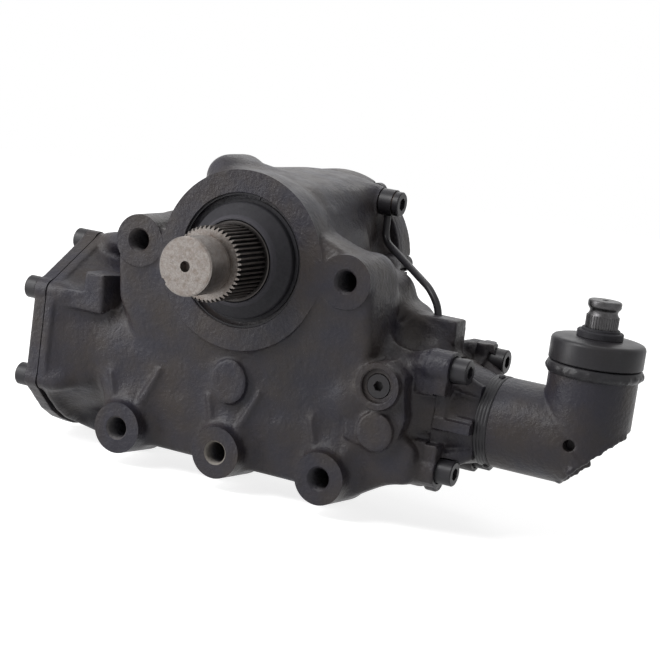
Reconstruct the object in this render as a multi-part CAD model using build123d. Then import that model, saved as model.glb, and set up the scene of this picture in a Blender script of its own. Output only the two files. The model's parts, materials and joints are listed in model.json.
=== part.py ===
from build123d import *
import os
from math import atan, cos, pi, radians, sin, sqrt, tan

# Truck steering gearbox of the recirculating ball kind, with hydraulic assistance.
# Sizes are in millimetres.  The origin is where the output shaft's axis meets the
# mounting face: -Y runs out of that face along the shaft, +X along the piston
# towards the steering input, and +Z up.

# Mounting face, Y = 0
hole_pitch = 100.0
hole_rows = 167.4
hole_r = 9.2
hole_mouth_r = 10.75
hole_depth = 45.0
mount_boss_r = 22.5
lower_boss_depth = 50.0
upper_boss_depth = 62.0

# Piston axis, parallel to X
piston_y = 80.0
piston_drop = 102.0
piston_z = -piston_drop

# Clearances
run_gap = 0.05
seat_gap = 0.02
chamber_gap = 2.0
bolt_gap = 0.5

# Sector gear and rack
pitch_r = 54.0
full_circle_teeth = 16
sector_teeth = 5
pressure_angle = radians(25)
addendum = 5.7
dedendum = 7.1
backlash = 0.24
sector_width = 60.0
travel_angle = radians(45)

# Output shaft
stub_r = 24.3
stub_end = -90.7
spline_start = -57.0
spline_end = -12.0
spline_r = 31.6
spline_root_r = 29.0
spline_teeth = 47
front_journal_r = 34.0
rear_journal_r = 26.0
centre_hole_r = 4.5
bearing_wall = 6.0
shaft_past_rim = 2.0
slot_depth = 14.0
adjuster_head_r = 13.0
adjuster_head = 6.0
adjuster_neck_r = 8.0
adjuster_reach = 26.0

# Ball worm
ball_lead = 18.0
ball_r = 3.8
ball_gap = 0.25
ball_circle_r = 17.1
worm_r = 16.8
worm_bore_r = 17.4
balls_in_train = 12
worm_left = -42.0
worm_thread_end = 118.0
nut_start = 10.0
nut_turns = 1.35

# Piston
piston_r = 55.0
piston_left = -104.0
piston_right = 76.0
rack_flat_half = 60.0
piston_floor = 12.0

# Housing
barrel_r = 68.0
left_face = -189.0
flange_thick = 9.0
flange_apothem = 77.5
flange_corner_r = 13.0
ring_r = 76.5
ring_depth = 28.0
chamber_r = 61.0
chamber_wall = 9.0
chamber_front = 46.0
opening_r = 54.5
opening_drop = 10.0
tower_end_r = 62.0
rear_face = 165.0
rear_rim_r = 75.5
rear_rim_thick = 4.0
seal_recess_r = 57.0
seal_recess_depth = 8.0
valve_face = 180.0
valve_bore_r = 40.0
ear_offset = 43.0
ear_r = 14.0
ear_thick = 12.0
ear_lobe = (-35, -50)
ear_lobe_r = 13.0
neck_start = 146.0
flange_flare = 40.0
wall_back = 60.0
port_block_top = -25.0

# Outlines of cast walls: (x, z) corners seen from the front, and (y, z) corners of a slope
wall_outline = [(-122.5, 4), (-119, -55), (-100, -84), (-60, -106), (60, -106), (108, -94), (129, -56), (122.5, 4)]
wall_slope = [(2, 10), (2, -25), (6, -60), (14, -110), (wall_back, -110), (wall_back, 10)]
skirt_outline = [(-134, -116), (-124, -176), (-112, -182), (70, -182), (106, -188), (119, -184.5), (132, -176),
                 (149, -166), (162, -161.5), (175, -160), (176, -128), (150, -112)]
skirt_slope = [(14, -100), (14, -136), (20, -189), (54, -189), (54, -100)]
ear_wall_outline = [(-122, -30), (-122, 10), (-109, 22.5), (-88, 28), (-79, 34), (-50, 46), (-50, -30)]
flange_lobe = [(-78, -28), (-80, -44), (-66, -57), (-48, -73), (-30, -83), (-8, -90.5), (10, -93), (20, -84),
               (10, -50), (-60, -20)]
plug_plate_outline = [(122, -70), (150, -62), (160, -74), (161, -90), (164, -104), (159, -127), (146, -136),
                      (126, -128)]
tower_front_outline = [(-66, 20), (-66, 44), (-60, 60), (-46, 70), (-28, 75), (0, 74), (30, 66), (50, 50),
                       (62, 20), (0, -20)]
tower_back_outline = [(-60, 20), (-66, 44), (-60, 60), (-46, 69), (-28, 74), (0, 75.5), (30, 74), (51, 68),
                      (56, 50), (58, 20), (0, -20)]

# Covers and their screws
end_cover_thick = 13.0
end_bolt_circle_r = 80.2
end_bolt_r = 6.0
end_head_r = 10.2
end_head_height = 11.0
end_bolts = 6
side_cover_thick = 24.0
side_head_r = 7.5
side_head_height = 9.0
side_bolt_circle_r = 70.5
side_bolt_r = 5.0
side_bolts = 6
spigot_depth = 12.0
ring_section_r = 1.6
valve_flange_thick = 10.0
valve_bolt_r = 7.0
valve_head_r = 10.5
valve_head_height = 15.5
thread_depth = 20.0

# Valve
valve_r = 31.0
valve_start = 130.0
valve_end = 207.0
worm_bearing_end = 148.0
rotor_r = 20.0
rotor_start = 150.0
bar_r = 5.0
bar_start = 20.0
ring_start = 213.5
neck_r = 37.0
spigot_r = 34.0
spigot_start = 209.5

# Angle drive
drive_x = 296.0
drive_start = 225.0
tube_r = 38.5
upright_r = 37.0
tube_top = -47.0
mitre_cut = 17.5
mitre_tilt = 0.08
gear_cavity_r = 27.5
level_bearing_x = 237.0
upright_bearing_z = -64.0
miter_teeth = 16
miter_module = 3.0
miter_face = 9.0
miter_backlash = 0.35
drive_shaft_r = 12.0
drive_bearing_width = 14.0
input_r = 13.65
input_root_r = 12.7
input_teeth = 36
input_top = 15.7
cap_r = 39.1
cap_spigot_r = 30.0
bead_top = -36.5
cap_top = -16.0
collar_top = -7.5
collar_r = 18.5

# Oil tube across the top
banjo_y = 148.5
banjo_z = 56.0
banjo_seat = 57.0
banjo_r = 12.0
banjo_washer = 1.0
banjo_width = 12.0
banjo_head = 5.5
banjo_thread_r = 5.0
banjo_grip = 12.0
tube_line_r = 3.0
oil_bend_r = 9.0
oil_route = [(64, 148.5, 47), (64, 148.5, 17), (137, 92, -1), (151, 88, -18.5), (151, 88, -38)]

# Oil ports and front plug
port_places = [96.0, 140.0]
port_mouth = 158.0
port_z = -82.0
port_r = 12.2
port_depth = 18.0
port_boss_r = 20.0
plug_r = 10.0
plug_x = 140.0
plug_z = -80.0
plug_boss_face = 3.0
plug_boss_r = 19.5
plug_recess_r = 14.3
plug_seat = 5.5

# Worked out from the above
pitch_circle = pi * 2 * pitch_r / full_circle_teeth
stroke = pitch_r * travel_angle
rack_height = piston_drop - pitch_r
piston_bore_r = piston_r + run_gap
piston_bore_end = piston_right + stroke + 5.0
sector_front = piston_y - sector_width / 2
sector_back = piston_y + sector_width / 2
front_bearing_back = sector_front - 4.0
front_bearing_front = front_bearing_back - 22.0
bearing_seat_r = front_journal_r + bearing_wall
end_cover_face = left_face - end_cover_thick
side_cover_face = rear_face + side_cover_thick
side_head_seat = side_cover_face - side_head_height
valve_cover_face = valve_face + valve_flange_thick
lower_z = -hole_rows
chamber_back = sector_back + chamber_gap + 2.0
end_boss_r = end_bolt_r + 4.4
shaft_back = rear_face + shaft_past_rim
adjuster_end = side_cover_face + adjuster_reach
ear_top = piston_z + ear_offset + ear_r
miter_r = miter_module * miter_teeth / 2
apex = (drive_x, piston_y, piston_z)
miter_cone = miter_r / sin(pi / 4)
miter_drop = 1.3 * miter_module * sin(pi / 4)
nose_reach = (1 - miter_face / miter_cone) * (miter_r + miter_drop)
gear_nose_x = drive_x - nose_reach
gear_nose_z = piston_z + nose_reach


def on_axis(x):
    """Point on the piston axis at x."""
    return (x, piston_y, piston_z)


def about_axis(x, y, z):
    """Point at x, offset by y and z from the piston axis."""
    return (x, piston_y + y, piston_z + z)


def rod(start, end, r, r_end=None):
    """Round bar between two points, tapered when a second radius is given."""
    path = Vector(*end) - Vector(*start)
    seat = Plane(origin=start, z_dir=path)
    base = (Align.CENTER, Align.CENTER, Align.MIN)
    if r_end is None:
        return seat * Cylinder(r, path.length, align=base)
    return seat * Cone(r, r_end, path.length, align=base)


def ball_at(point, r):
    """Ball of radius r at a point."""
    return Pos(*point) * Sphere(r)


def tube(start, end, r_out, r_in):
    """Hollow round bar."""
    return rod(start, end, r_out) - rod(start, end, r_in)


def block(x, y, z):
    """Box spanning the three (low, high) pairs."""
    centre = [(low + high) / 2 for low, high in (x, y, z)]
    return Pos(*centre) * Box(*[high - low for low, high in (x, y, z)])


def across(shape, y_front, y_back):
    """Flat shape drawn in X and Z, made solid from y_front to y_back."""
    return extrude(Plane.XZ.offset(-y_back) * shape, y_back - y_front)


def along(shape, x_left, x_right):
    """Flat shape drawn in Y and Z about the piston axis, made solid along X."""
    seat = Plane(origin=on_axis(x_left), x_dir=(0, 1, 0), z_dir=(1, 0, 0))
    return extrude(seat * shape, x_right - x_left)


def turned(corners, origin, direction):
    """Solid of revolution whose half section has the corners (distance, radius)."""
    path = Vector(*direction)
    side = Vector(1, 0, 0) if abs(path.Z) > 0.5 else Vector(0, 0, 1)
    seat = Plane(origin=origin, x_dir=path, z_dir=path.cross(side))
    section = seat * make_face(Polyline(*corners, close=True))
    return revolve(section, Axis(origin, direction), 360)


def stepped(stations, origin, direction):
    """Stepped shaft: each (distance, radius) starts a step, and the last one ends it."""
    corners = [(stations[0][0], 0)]
    for (start, r), (end, unused) in zip(stations, stations[1:]):
        corners += [(start, r), (end, r)]
    corners.append((stations[-1][0], 0))
    return turned(corners, origin, direction)


def ear_offsets():
    """(y, z) offsets of the four valve cover screws from the piston axis."""
    return [(y, z) for y in (-ear_offset, ear_offset) for z in (-ear_offset, ear_offset)]


def rear_ear_block():
    """(low, high) pairs in Y and Z of the flat-topped ear at the rear, upper corner."""
    middle = piston_y + ear_offset
    return (middle - ear_r, middle + ear_r - 2), (ear_top - ear_r, ear_top)


def ear_points(x):
    """Centres of the four valve cover screws at x."""
    return [about_axis(x, y, z) for y, z in ear_offsets()]


def circle_points(count, r, first=0.0):
    """Evenly spaced (u, v) points on a circle."""
    angles = [first + 2 * pi * i / count for i in range(count)]
    return [(r * cos(a), r * sin(a)) for a in angles]


def end_bolt_points(x):
    """Centres of the end cover bolts at x, one at each corner of the hexagon."""
    ring = circle_points(end_bolts, end_bolt_circle_r, pi / 2)
    return [about_axis(x, y, z) for y, z in ring]


def side_bolt_points(y):
    """Centres of the side cover bolts at y."""
    ring = circle_points(side_bolts, side_bolt_circle_r)
    return [(x, y, z) for x, z in ring]


def hexagon_plate(x_left, x_right):
    """Rounded hexagon of the left end, with flat front and back sides."""
    outline = RegularPolygon(flange_apothem, 6, major_radius=False, rotation=30)
    outline = fillet(outline.vertices(), flange_corner_r)
    return along(outline, x_left, x_right) + along(Polygon(*flange_lobe, align=None), x_left, x_right)


def housing_barrel():
    """Piston barrel with the hexagonal left flange and the neck to the valve end."""
    left_inner = left_face + flange_thick
    shape = hexagon_plate(left_face, left_inner)
    shape += rod(on_axis(left_inner - 1), on_axis(left_inner + flange_flare), flange_apothem - 2, barrel_r)
    shape += rod(on_axis(left_inner), on_axis(neck_start), barrel_r)
    shape += rod(on_axis(neck_start), on_axis(valve_face - 6), barrel_r, valve_bore_r + 8)
    shape += rod(on_axis(neck_start), on_axis(valve_face), valve_bore_r + 8)
    ear_back = valve_face - ear_thick
    for y, z in ear_offsets():
        shape += rod(about_axis(ear_back, y, z), about_axis(valve_face, y, z), ear_r)
        shape += rod(about_axis(ear_back, y, z), about_axis(ear_back - 28, 0.85 * y, 0.85 * z), ear_r, ear_r / 2)
    shape += block((ear_back + 2, valve_face), *rear_ear_block())
    shape += rod(about_axis(ear_back, *ear_lobe), about_axis(valve_face, *ear_lobe), ear_lobe_r)
    shape += rod(about_axis(ear_back - 30, -28, -42), about_axis(ear_back, *ear_lobe), 8, ear_lobe_r)
    boss_back = left_inner + 8
    for y, z in circle_points(end_bolts, end_bolt_circle_r, pi / 2):
        shape += rod(about_axis(left_face, y, z), about_axis(boss_back, y, z), end_boss_r)
        shape += rod(about_axis(boss_back, y, z), about_axis(boss_back + 26, 0.8 * y, 0.8 * z), end_boss_r, 4)
    shape += rod(about_axis(left_inner, -4, end_bolt_circle_r + 2), about_axis(-138, -22, 92.5), end_boss_r)
    shape += rod(about_axis(left_inner, 0, -end_bolt_circle_r - 2), about_axis(-112, -18, -90), end_boss_r)
    return shape


def housing_chamber():
    """Sector chamber: front ring boss, tower with its rear hump, and rear rim."""
    wall_r = chamber_r + chamber_wall
    tower_back = rear_face - rear_rim_thick
    shape = rod((0, 0, 0), (0, ring_depth, 0), ring_r)
    flare = rod((0, 3, 0), (0, 18, 0), ring_r - 1, ring_r + 14)
    shape += flare & block((-100, 100), (0, 30), (-120, -30))
    shape += rod((0, ring_depth, 0), (0, ring_depth + 18, 0), ring_r, wall_r)
    shape += rod((0, ring_depth, 0), (0, chamber_back, 0), wall_r)
    shape += rod((0, chamber_back, 0), (0, chamber_back + 12, 0), wall_r, tower_end_r)
    shape += rod((0, chamber_back, 0), (0, rear_face, 0), tower_end_r)
    shape += rod((0, tower_back, 0), (0, rear_face, 0), rear_rim_r)
    for point in side_bolt_points(rear_face):
        shape += rod((point[0], rear_face - 24, point[2]), point, side_bolt_r + 5)
    shape += loft([level_outline(tower_front_outline, ring_depth), level_outline(tower_back_outline, tower_back)],
                  ruled=True)
    shape += rod((-48, 48, 62), (-48, 88, 62), 21)
    shape += ball_at((-48, 52, 62), 21)
    shape += rod((-48, 62, 63), (4, 66, 57), 20, 17)
    shape += rod((-68, 66, 48), (-60, 120, 46), 13)
    shape += rod((0, banjo_y - 1, banjo_z), (banjo_seat, banjo_y - 1, banjo_z), 15.5)
    return shape


def housing_mounts():
    """Five mounting bosses with the sloping wall, webs, ribs and skirt that carry them."""
    shape = across(Polygon(*wall_outline, align=None), 0, wall_back) & sloped(wall_slope)
    shape += across(Polygon(*skirt_outline, align=None), 0, lower_boss_depth + 4) & sloped(skirt_slope)
    for x in (-hole_pitch, 0, hole_pitch):
        shape += rod((x, 0, lower_z), (x, lower_boss_depth, lower_z), mount_boss_r, mount_boss_r + 3.5)
        shape += rod((x - 13, 15, lower_z + 16), (x - 19, 12, lower_z + 50), 5, 2.5)
        shape += rod((x + 13, 15, lower_z + 14), (x + 29, 12, lower_z + 57), 5, 2.5)
    for x in (-hole_pitch, hole_pitch):
        inner = 0.55 * x
        web = Polygon((x, mount_boss_r - 0.5), (inner, 38), (inner, -30), (x, 0.5 - mount_boss_r), align=None)
        shape += across(web, 1.0, 46)
        shape += rod((x, 0, 0), (x, upper_boss_depth, 0), mount_boss_r)
    shape += across(Polygon(*ear_wall_outline, align=None), 20, 50)
    return shape


def housing_bosses():
    """Cast pads, plug boss, lifting lug, port block and oil port bosses."""
    shape = across(Pos(0.6, -105) * Ellipse(17.5, 19.5), 8, 24)
    shape += rod((plug_x, plug_boss_face, plug_z), (plug_x, 34, plug_z), plug_boss_r)
    shape += rod((142, 5, -118.5), (142, 34, -118.5), 16.3)
    shape += across(Polygon(*plug_plate_outline, align=None), 8, 40)
    shape += block((-173, -134), (4, 34), (-72, -56))
    shape += block((-151, -134), (4, 34), (-57, -37))
    shape += block((132, 174), (72, 95), (-62, port_block_top))
    shape += rod((97, 40, -19), (97, 110, -19), 25)
    shape += rod((124, 66, -38), (124, 112, -38), 19)
    for x in port_places:
        shape += rod((x, 100, port_z), (x, port_mouth, port_z), port_boss_r)
    return shape


def chamber_cuts():
    """Sector chamber, its rear opening, bearing seat, seal bores and the retaining ring's groove."""
    bore = stepped([(-1, seal_recess_r), (seal_recess_depth, front_journal_r + 11),
                    (front_bearing_front, bearing_seat_r), (chamber_front, chamber_r),
                    (chamber_back, 0)], (0, 0, 0), (0, 1, 0))
    opening = rod((0, chamber_back - 1, -opening_drop), (0, rear_face + 1, -opening_drop), opening_r)
    groove = rod((0, 2, 0), (0, 4, 0), seal_recess_r + 3)
    return bore + groove + opening


def piston_cuts():
    """Piston bore, valve bore and the step for the worm bearing."""
    return stepped([(left_face - 1, piston_bore_r), (piston_bore_end, valve_bore_r),
                    (valve_face + 1, 0)], on_axis(0), (1, 0, 0))


def level_outline(corners, y):
    """Flat face at Y = y with the corners (x, z)."""
    return make_face(Polyline(*[(x, y, z) for x, z in corners], close=True))


def sloped(corners):
    """Long bar along X whose section has the corners (y, z), for trimming a wall to a slope."""
    section = Polygon(*[(y - piston_y, z - piston_z) for y, z in corners], align=None)
    return along(section, left_face, valve_face)


def blind_hole(mouth, inward, r, depth, mouth_r):
    """Drilled hole with a coned floor and a chamfered mouth."""
    step = mouth_r - r
    corners = [(-1, 0), (-1, mouth_r + 1), (0, mouth_r), (step, r), (depth, r), (depth + 0.5 * r, 0)]
    return turned(corners, mouth, inward)


def housing():
    """Cast housing of the piston, the sector shaft and the valve."""
    shape = housing_barrel() + housing_chamber() + housing_mounts() + housing_bosses()
    shape -= chamber_cuts() + piston_cuts()
    for x, z in [(-hole_pitch, 0), (hole_pitch, 0), (-hole_pitch, lower_z), (0, lower_z), (hole_pitch, lower_z)]:
        shape -= blind_hole((x, 0, z), (0, 1, 0), hole_r, hole_depth, hole_mouth_r)
    for point in end_bolt_points(left_face):
        shape -= blind_hole(point, (1, 0, 0), end_bolt_r, thread_depth, end_bolt_r + 0.6)
    for point in side_bolt_points(rear_face):
        shape -= blind_hole(point, (0, -1, 0), side_bolt_r, thread_depth - 4, side_bolt_r + 0.6)
    for point in ear_points(valve_face):
        shape -= blind_hole(point, (-1, 0, 0), valve_bolt_r, thread_depth - 1, valve_bolt_r + 0.6)
    for x in port_places:
        shape -= blind_hole((x, port_mouth, port_z), (0, -1, 0), port_r, port_depth, port_r + 1.2)
    shape -= rod((plug_x, plug_boss_face - 1, plug_z), (plug_x, plug_seat, plug_z), plug_recess_r)
    shape -= blind_hole((plug_x, plug_seat, plug_z), (0, 1, 0), plug_r, 14, plug_r + 0.8)
    shape -= rod((banjo_seat + 1, banjo_y, banjo_z), (banjo_seat - banjo_grip - 2, banjo_y, banjo_z), banjo_thread_r)
    shape -= rod((banjo_seat, banjo_y, banjo_z), (banjo_seat + 12, banjo_y, banjo_z), banjo_r + 5)
    foot = oil_route[-1]
    shape -= rod(foot, (foot[0], foot[1], port_block_top + 1), tube_line_r + seat_gap)
    return shape


def involute_angle(base_r, r):
    """Polar angle that an involute has turned through at radius r."""
    roll = sqrt(max((r / base_r) ** 2 - 1, 0))
    return roll - atan(roll)


def tooth_half_angle(r, r_pitch, count, slack):
    """Half the angle that a tooth fills at radius r."""
    base_r = r_pitch * cos(pressure_angle)
    at_pitch = pi / (2 * count) - slack / (2 * r_pitch)
    return at_pitch + involute_angle(base_r, r_pitch) - involute_angle(base_r, max(r, base_r))


def polar(r, angle):
    """(u, v) point at a radius and an angle."""
    return (r * cos(angle), r * sin(angle))


def sector_gear():
    """Five involute teeth that hang below the shaft and mesh with the rack."""
    root_r = pitch_r - dedendum
    tip_r = pitch_r + addendum
    base_r = pitch_r * cos(pressure_angle)
    radii = [root_r, base_r] + [base_r + (tip_r - base_r) * k / 5 for k in (1, 2, 3, 4, 5)]
    step = 2 * pi / full_circle_teeth
    first = -pi / 2 - step * (sector_teeth - 1) / 2
    corners = [polar(front_journal_r - 4, first - step / 2), polar(root_r, first - step / 2)]
    for i in range(sector_teeth):
        middle = first + i * step
        rising = [(r, tooth_half_angle(r, pitch_r, full_circle_teeth, backlash)) for r in radii]
        corners += [polar(r, middle - half) for r, half in rising]
        corners += [polar(r, middle + half) for r, half in reversed(rising)]
    last = -pi / 2 + step * sector_teeth / 2
    corners += [polar(root_r, last), polar(front_journal_r - 4, last)]
    outline = make_face(Polyline(*corners, close=True))
    return across(outline, sector_front, sector_back)


def spline_ring(teeth, tip_r, root_r, start, end, origin, direction):
    """Straight serrations: a coarse star outline carried along a shaft."""
    step = 2 * pi / teeth
    corners = []
    for i in range(teeth):
        corners += [polar(root_r, (i - 0.12) * step), polar(root_r, (i + 0.12) * step)]
        corners += [polar(tip_r, (i + 0.37) * step), polar(tip_r, (i + 0.63) * step)]
    star = make_face(Polyline(*corners, close=True))
    path = Vector(*direction)
    seat = Plane(origin=Vector(*origin) + path * start, z_dir=path)
    return extrude(seat * star, end - start)


def sector_shaft():
    """Output shaft: splined end, two journals and the sector gear in one forging."""
    shape = turned([(stub_end, 0), (stub_end, stub_r - 1.2), (stub_end + 1.2, stub_r), (spline_start - 3, stub_r),
                    (spline_start, stub_r - 1), (spline_start, spline_root_r - 0.5),
                    (spline_end, spline_root_r - 0.5), (spline_end, front_journal_r - 0.8),
                    (spline_end + 0.8, front_journal_r), (sector_back, front_journal_r),
                    (sector_back, rear_journal_r), (shaft_back, rear_journal_r), (shaft_back, 0)],
                   (0, 0, 0), (0, 1, 0))
    shape += spline_ring(spline_teeth, spline_r, spline_root_r, spline_start, spline_end, (0, 0, 0), (0, 1, 0))
    shape += sector_gear()
    shape -= rod((0, stub_end - 1, 0), (0, stub_end + 9, 0), centre_hole_r)
    notch = Rot(0, 140, 0) * Pos(stub_r, stub_end + 1, 0) * Box(4, 6, 5)
    shape -= notch
    shape -= rod((0, shaft_back - slot_depth, 0), (0, shaft_back + 1, 0), adjuster_neck_r + 1)
    shape -= block((-adjuster_head_r - 0.3, adjuster_head_r + 0.3), (shaft_back - slot_depth,
                   shaft_back - slot_depth + adjuster_head + 0.3),
                   (-adjuster_head_r - 0.3, rear_journal_r + 1))
    shape -= block((-adjuster_neck_r - 1, adjuster_neck_r + 1), (shaft_back - slot_depth, shaft_back + 1),
                   (0, rear_journal_r + 1))
    return shape


def adjuster_screw():
    """Backlash adjuster: its head sits in the slot of the sector shaft."""
    head_start = shaft_back - slot_depth + 0.15
    shape = stepped([(head_start, adjuster_head_r), (head_start + adjuster_head, adjuster_neck_r - seat_gap),
                     (adjuster_end, 0)], (0, 0, 0), (0, 1, 0))
    return shape - block((-2, 2), (adjuster_end - 4, adjuster_end + 1), (-10, 10))


def adjuster_locknut():
    """Hexagon nut that locks the adjuster against the side cover."""
    start = side_cover_face + 8
    nut = across(RegularPolygon(13.5, 6), start, start + 11)
    return nut - rod((0, start - 1, 0), (0, start + 12, 0), adjuster_neck_r)


def bearing_shell(y_front, y_back, r_in, r_out):
    """Drawn-cup needle bearing seen as its outer ring, with a chamfered mouth."""
    corners = [(y_front, r_out - 0.6), (y_front + 0.6, r_out), (y_back, r_out), (y_back, r_in),
               (y_front + 0.6, r_in), (y_front, r_in + 0.6)]
    return turned(corners, (0, 0, 0), (0, 1, 0))


def front_bearing():
    """Bearing of the output shaft in the housing."""
    return bearing_shell(front_bearing_front, front_bearing_back, front_journal_r + run_gap,
                         bearing_seat_r - seat_gap)


def rear_bearing():
    """Bearing of the output shaft in the side cover."""
    return bearing_shell(sector_back + 8, rear_face - 4, rear_journal_r + run_gap,
                         rear_journal_r + bearing_wall - seat_gap)


def shaft_seal():
    """Lip seal between the bearing and the mounting face."""
    r_out = front_journal_r + 11 - seat_gap
    r_in = front_journal_r + run_gap
    front = seal_recess_depth + 1
    corners = [(front, r_out), (front + 9, r_out), (front + 9, r_out - 3), (front + 3, r_out - 3),
               (front + 3, r_in + 3), (front + 7, r_in + 1), (front + 5, r_in), (front, r_in + 3)]
    return turned(corners, (0, 0, 0), (0, 1, 0))


def dust_seal():
    """Coned dust cover round the output shaft, with a raised collar."""
    r_in = front_journal_r + run_gap
    corners = [(seal_recess_depth, 52.5), (seal_recess_depth, r_in + 2), (0, r_in), (-9, r_in), (-11, r_in + 1),
               (-11, 36.5), (-8.5, 38), (-7, 38.4), (3.5, 51.5), (4.5, 52.5)]
    return turned(corners, (0, 0, 0), (0, 1, 0))


def retaining_ring():
    """Snap ring in the mouth of the ring boss, with its gap and two lugs."""
    r_out = seal_recess_r + 2
    ring = tube((0, 2.2, 0), (0, 3.8, 0), r_out, seal_recess_r - 1.5)
    gap_angle = 12
    lugs = Rot(0, -(90 - gap_angle), 0) * rod((seal_recess_r - 0.3, 2.2, 0), (seal_recess_r - 0.3, 3.8, 0), 2.8)
    gap = Rot(0, -(90 - gap_angle), 0) * block((40, 70), (1, 5), (-0.8, 0.8))
    return ring + lugs - gap


def rack_cut():
    """Rack gaps with the flat that the teeth stand on, taken out of the piston."""
    slack = backlash / 2
    top = addendum
    floor = -addendum - 1.6
    lift = top + 12
    solids = block((-rack_flat_half, rack_flat_half), (piston_y - piston_r - 1, piston_y + piston_r + 1),
                   (piston_z + rack_height + top, piston_z + rack_height + lift))
    for i in range(sector_teeth):
        middle = (i - (sector_teeth - 1) / 2) * pitch_circle
        corners = []
        for side in (-1, 1):
            ends = [(floor, side), (lift, side)] if side < 0 else [(lift, side), (floor, side)]
            for height, s in ends:
                half = pitch_circle / 4 + slack / 2 + height * tan(pressure_angle)
                corners.append((middle + s * half, piston_z + rack_height + height))
        gap = make_face(Polyline(*corners, close=True))
        solids += across(gap, piston_y - piston_r - 1, piston_y + piston_r + 1)
    return solids


def ball_helix(x_start, turns):
    """Centre line of the balls from x_start, always in step with the worm's groove."""
    phase = 360 * (x_start - worm_left) / ball_lead
    path = Helix(ball_lead, ball_lead * turns, ball_circle_r)
    seat = Plane(origin=on_axis(x_start), x_dir=(0, 1, 0), z_dir=(1, 0, 0))
    return seat.location * (Rot(0, 0, phase) * path)


def ball_groove(x_start, turns):
    """Helical channel that clears the balls all round."""
    path = ball_helix(x_start, turns)
    radial = (path @ 0) - Vector(*on_axis(x_start))
    seat = Plane(origin=path @ 0, x_dir=radial, z_dir=path % 0)
    section = RegularPolygon(ball_r + ball_gap, 6, major_radius=False, rotation=30)
    return sweep(seat * section, path=path, is_frenet=True)


def rack_piston():
    """Piston with the rack on top and the ball nut ground into its bore."""
    shape = stepped([(piston_left, piston_r - 3), (piston_left + 3, piston_r), (piston_right - 3, piston_r - 3),
                     (piston_right, 0)], on_axis(0), (1, 0, 0))
    shape -= rack_cut()
    shape -= tube(on_axis(piston_left + 9), on_axis(piston_left + 13), piston_r + 1, piston_r - 4)
    shape -= rod(on_axis(piston_left + piston_floor), on_axis(piston_right + 1), worm_bore_r)
    shape -= rod(on_axis(piston_left + piston_floor), on_axis(nut_start - 6), worm_bore_r + 6)
    shape -= ball_groove(nut_start, nut_turns)
    for x in (nut_start, nut_start + nut_turns * ball_lead):
        shape -= rod(on_axis(x), about_axis(x, 0, -40), ball_r + ball_gap)
    shape -= block((nut_start - 2, nut_start + nut_turns * ball_lead + 2), (piston_y - 13, piston_y + 13),
                   (piston_z - piston_r - 1, piston_z - 36))
    return shape


def ball_train():
    """Balls between the worm and the piston, evenly spaced along the groove."""
    path = ball_helix(nut_start, nut_turns)
    balls = []
    for i in range(balls_in_train):
        centre = path @ ((i + 0.7) / (balls_in_train + 0.4))
        balls.append(ball_at(tuple(centre), ball_r))
    return Compound(children=balls)


def ball_guide():
    """Cover that closes the return path of the balls under the piston."""
    x_left = nut_start - 2 + seat_gap
    x_right = nut_start + nut_turns * ball_lead + 2 - seat_gap
    plate = block((x_left, x_right), (piston_y - 13 + seat_gap, piston_y + 13 - seat_gap),
                  (piston_z - 45, piston_z - 36 - seat_gap))
    channel = rod((x_left + 6, piston_y, piston_z - 36), (x_right - 6, piston_y, piston_z - 36), ball_r + ball_gap)
    return plate - channel


def piston_ring():
    """Sealing ring in the groove at the left end of the piston."""
    return tube(on_axis(piston_left + 9.2), on_axis(piston_left + 12.8), piston_r + 0.02, piston_r - 3.7)


def worm_shaft():
    """Ball worm with the valve body in one piece at its right end."""
    shape = turned([(worm_left, 0), (worm_left, worm_r - 2), (worm_left + 2, worm_r), (valve_start, worm_r),
                    (valve_start, valve_r), (valve_end, valve_r), (valve_end, rotor_r + run_gap),
                    (rotor_start - 1, rotor_r + run_gap), (rotor_start - 1, bar_r + 2),
                    (bar_start - 0.5, bar_r + 2), (bar_start - 0.5, bar_r + 0.3), (bar_start - 12, bar_r + 0.3),
                    (bar_start - 12, 0)],
                   on_axis(0), (1, 0, 0))
    shape -= ball_groove(worm_left - 3, (worm_thread_end - worm_left + 3) / ball_lead)
    for x in (168, 180, 192):
        shape -= tube(on_axis(x), on_axis(x + 5), valve_r + 1, valve_r - 2)
    return shape


def torsion_bar():
    """Thin bar that centres the valve rotor in the valve body."""
    return stepped([(bar_start - 12, bar_r + 0.25), (bar_start, bar_r - 1), (rotor_start + 14, bar_r + 0.25),
                    (rotor_start + 60, 0)], on_axis(0), (1, 0, 0))


def valve_rotor():
    """Rotary valve core, carried on to the bevel gear of the angle drive."""
    shape = turned([(rotor_start, 0), (rotor_start, rotor_r), (valve_end + 4, rotor_r),
                    (valve_end + 4, drive_shaft_r + 2), (level_bearing_x, drive_shaft_r + 2),
                    (level_bearing_x, drive_shaft_r), (gear_nose_x, drive_shaft_r), (gear_nose_x, 0)],
                   on_axis(0), (1, 0, 0))
    shape -= rod(on_axis(rotor_start - 1), on_axis(rotor_start + 61), bar_r + 0.3)
    for angle in range(0, 360, 60):
        slot = Pos(*on_axis(182)) * Rot(angle, 0, 0) * Pos(0, 0, rotor_r) * Box(24, 5, 3)
        shape -= slot
    return shape


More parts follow.
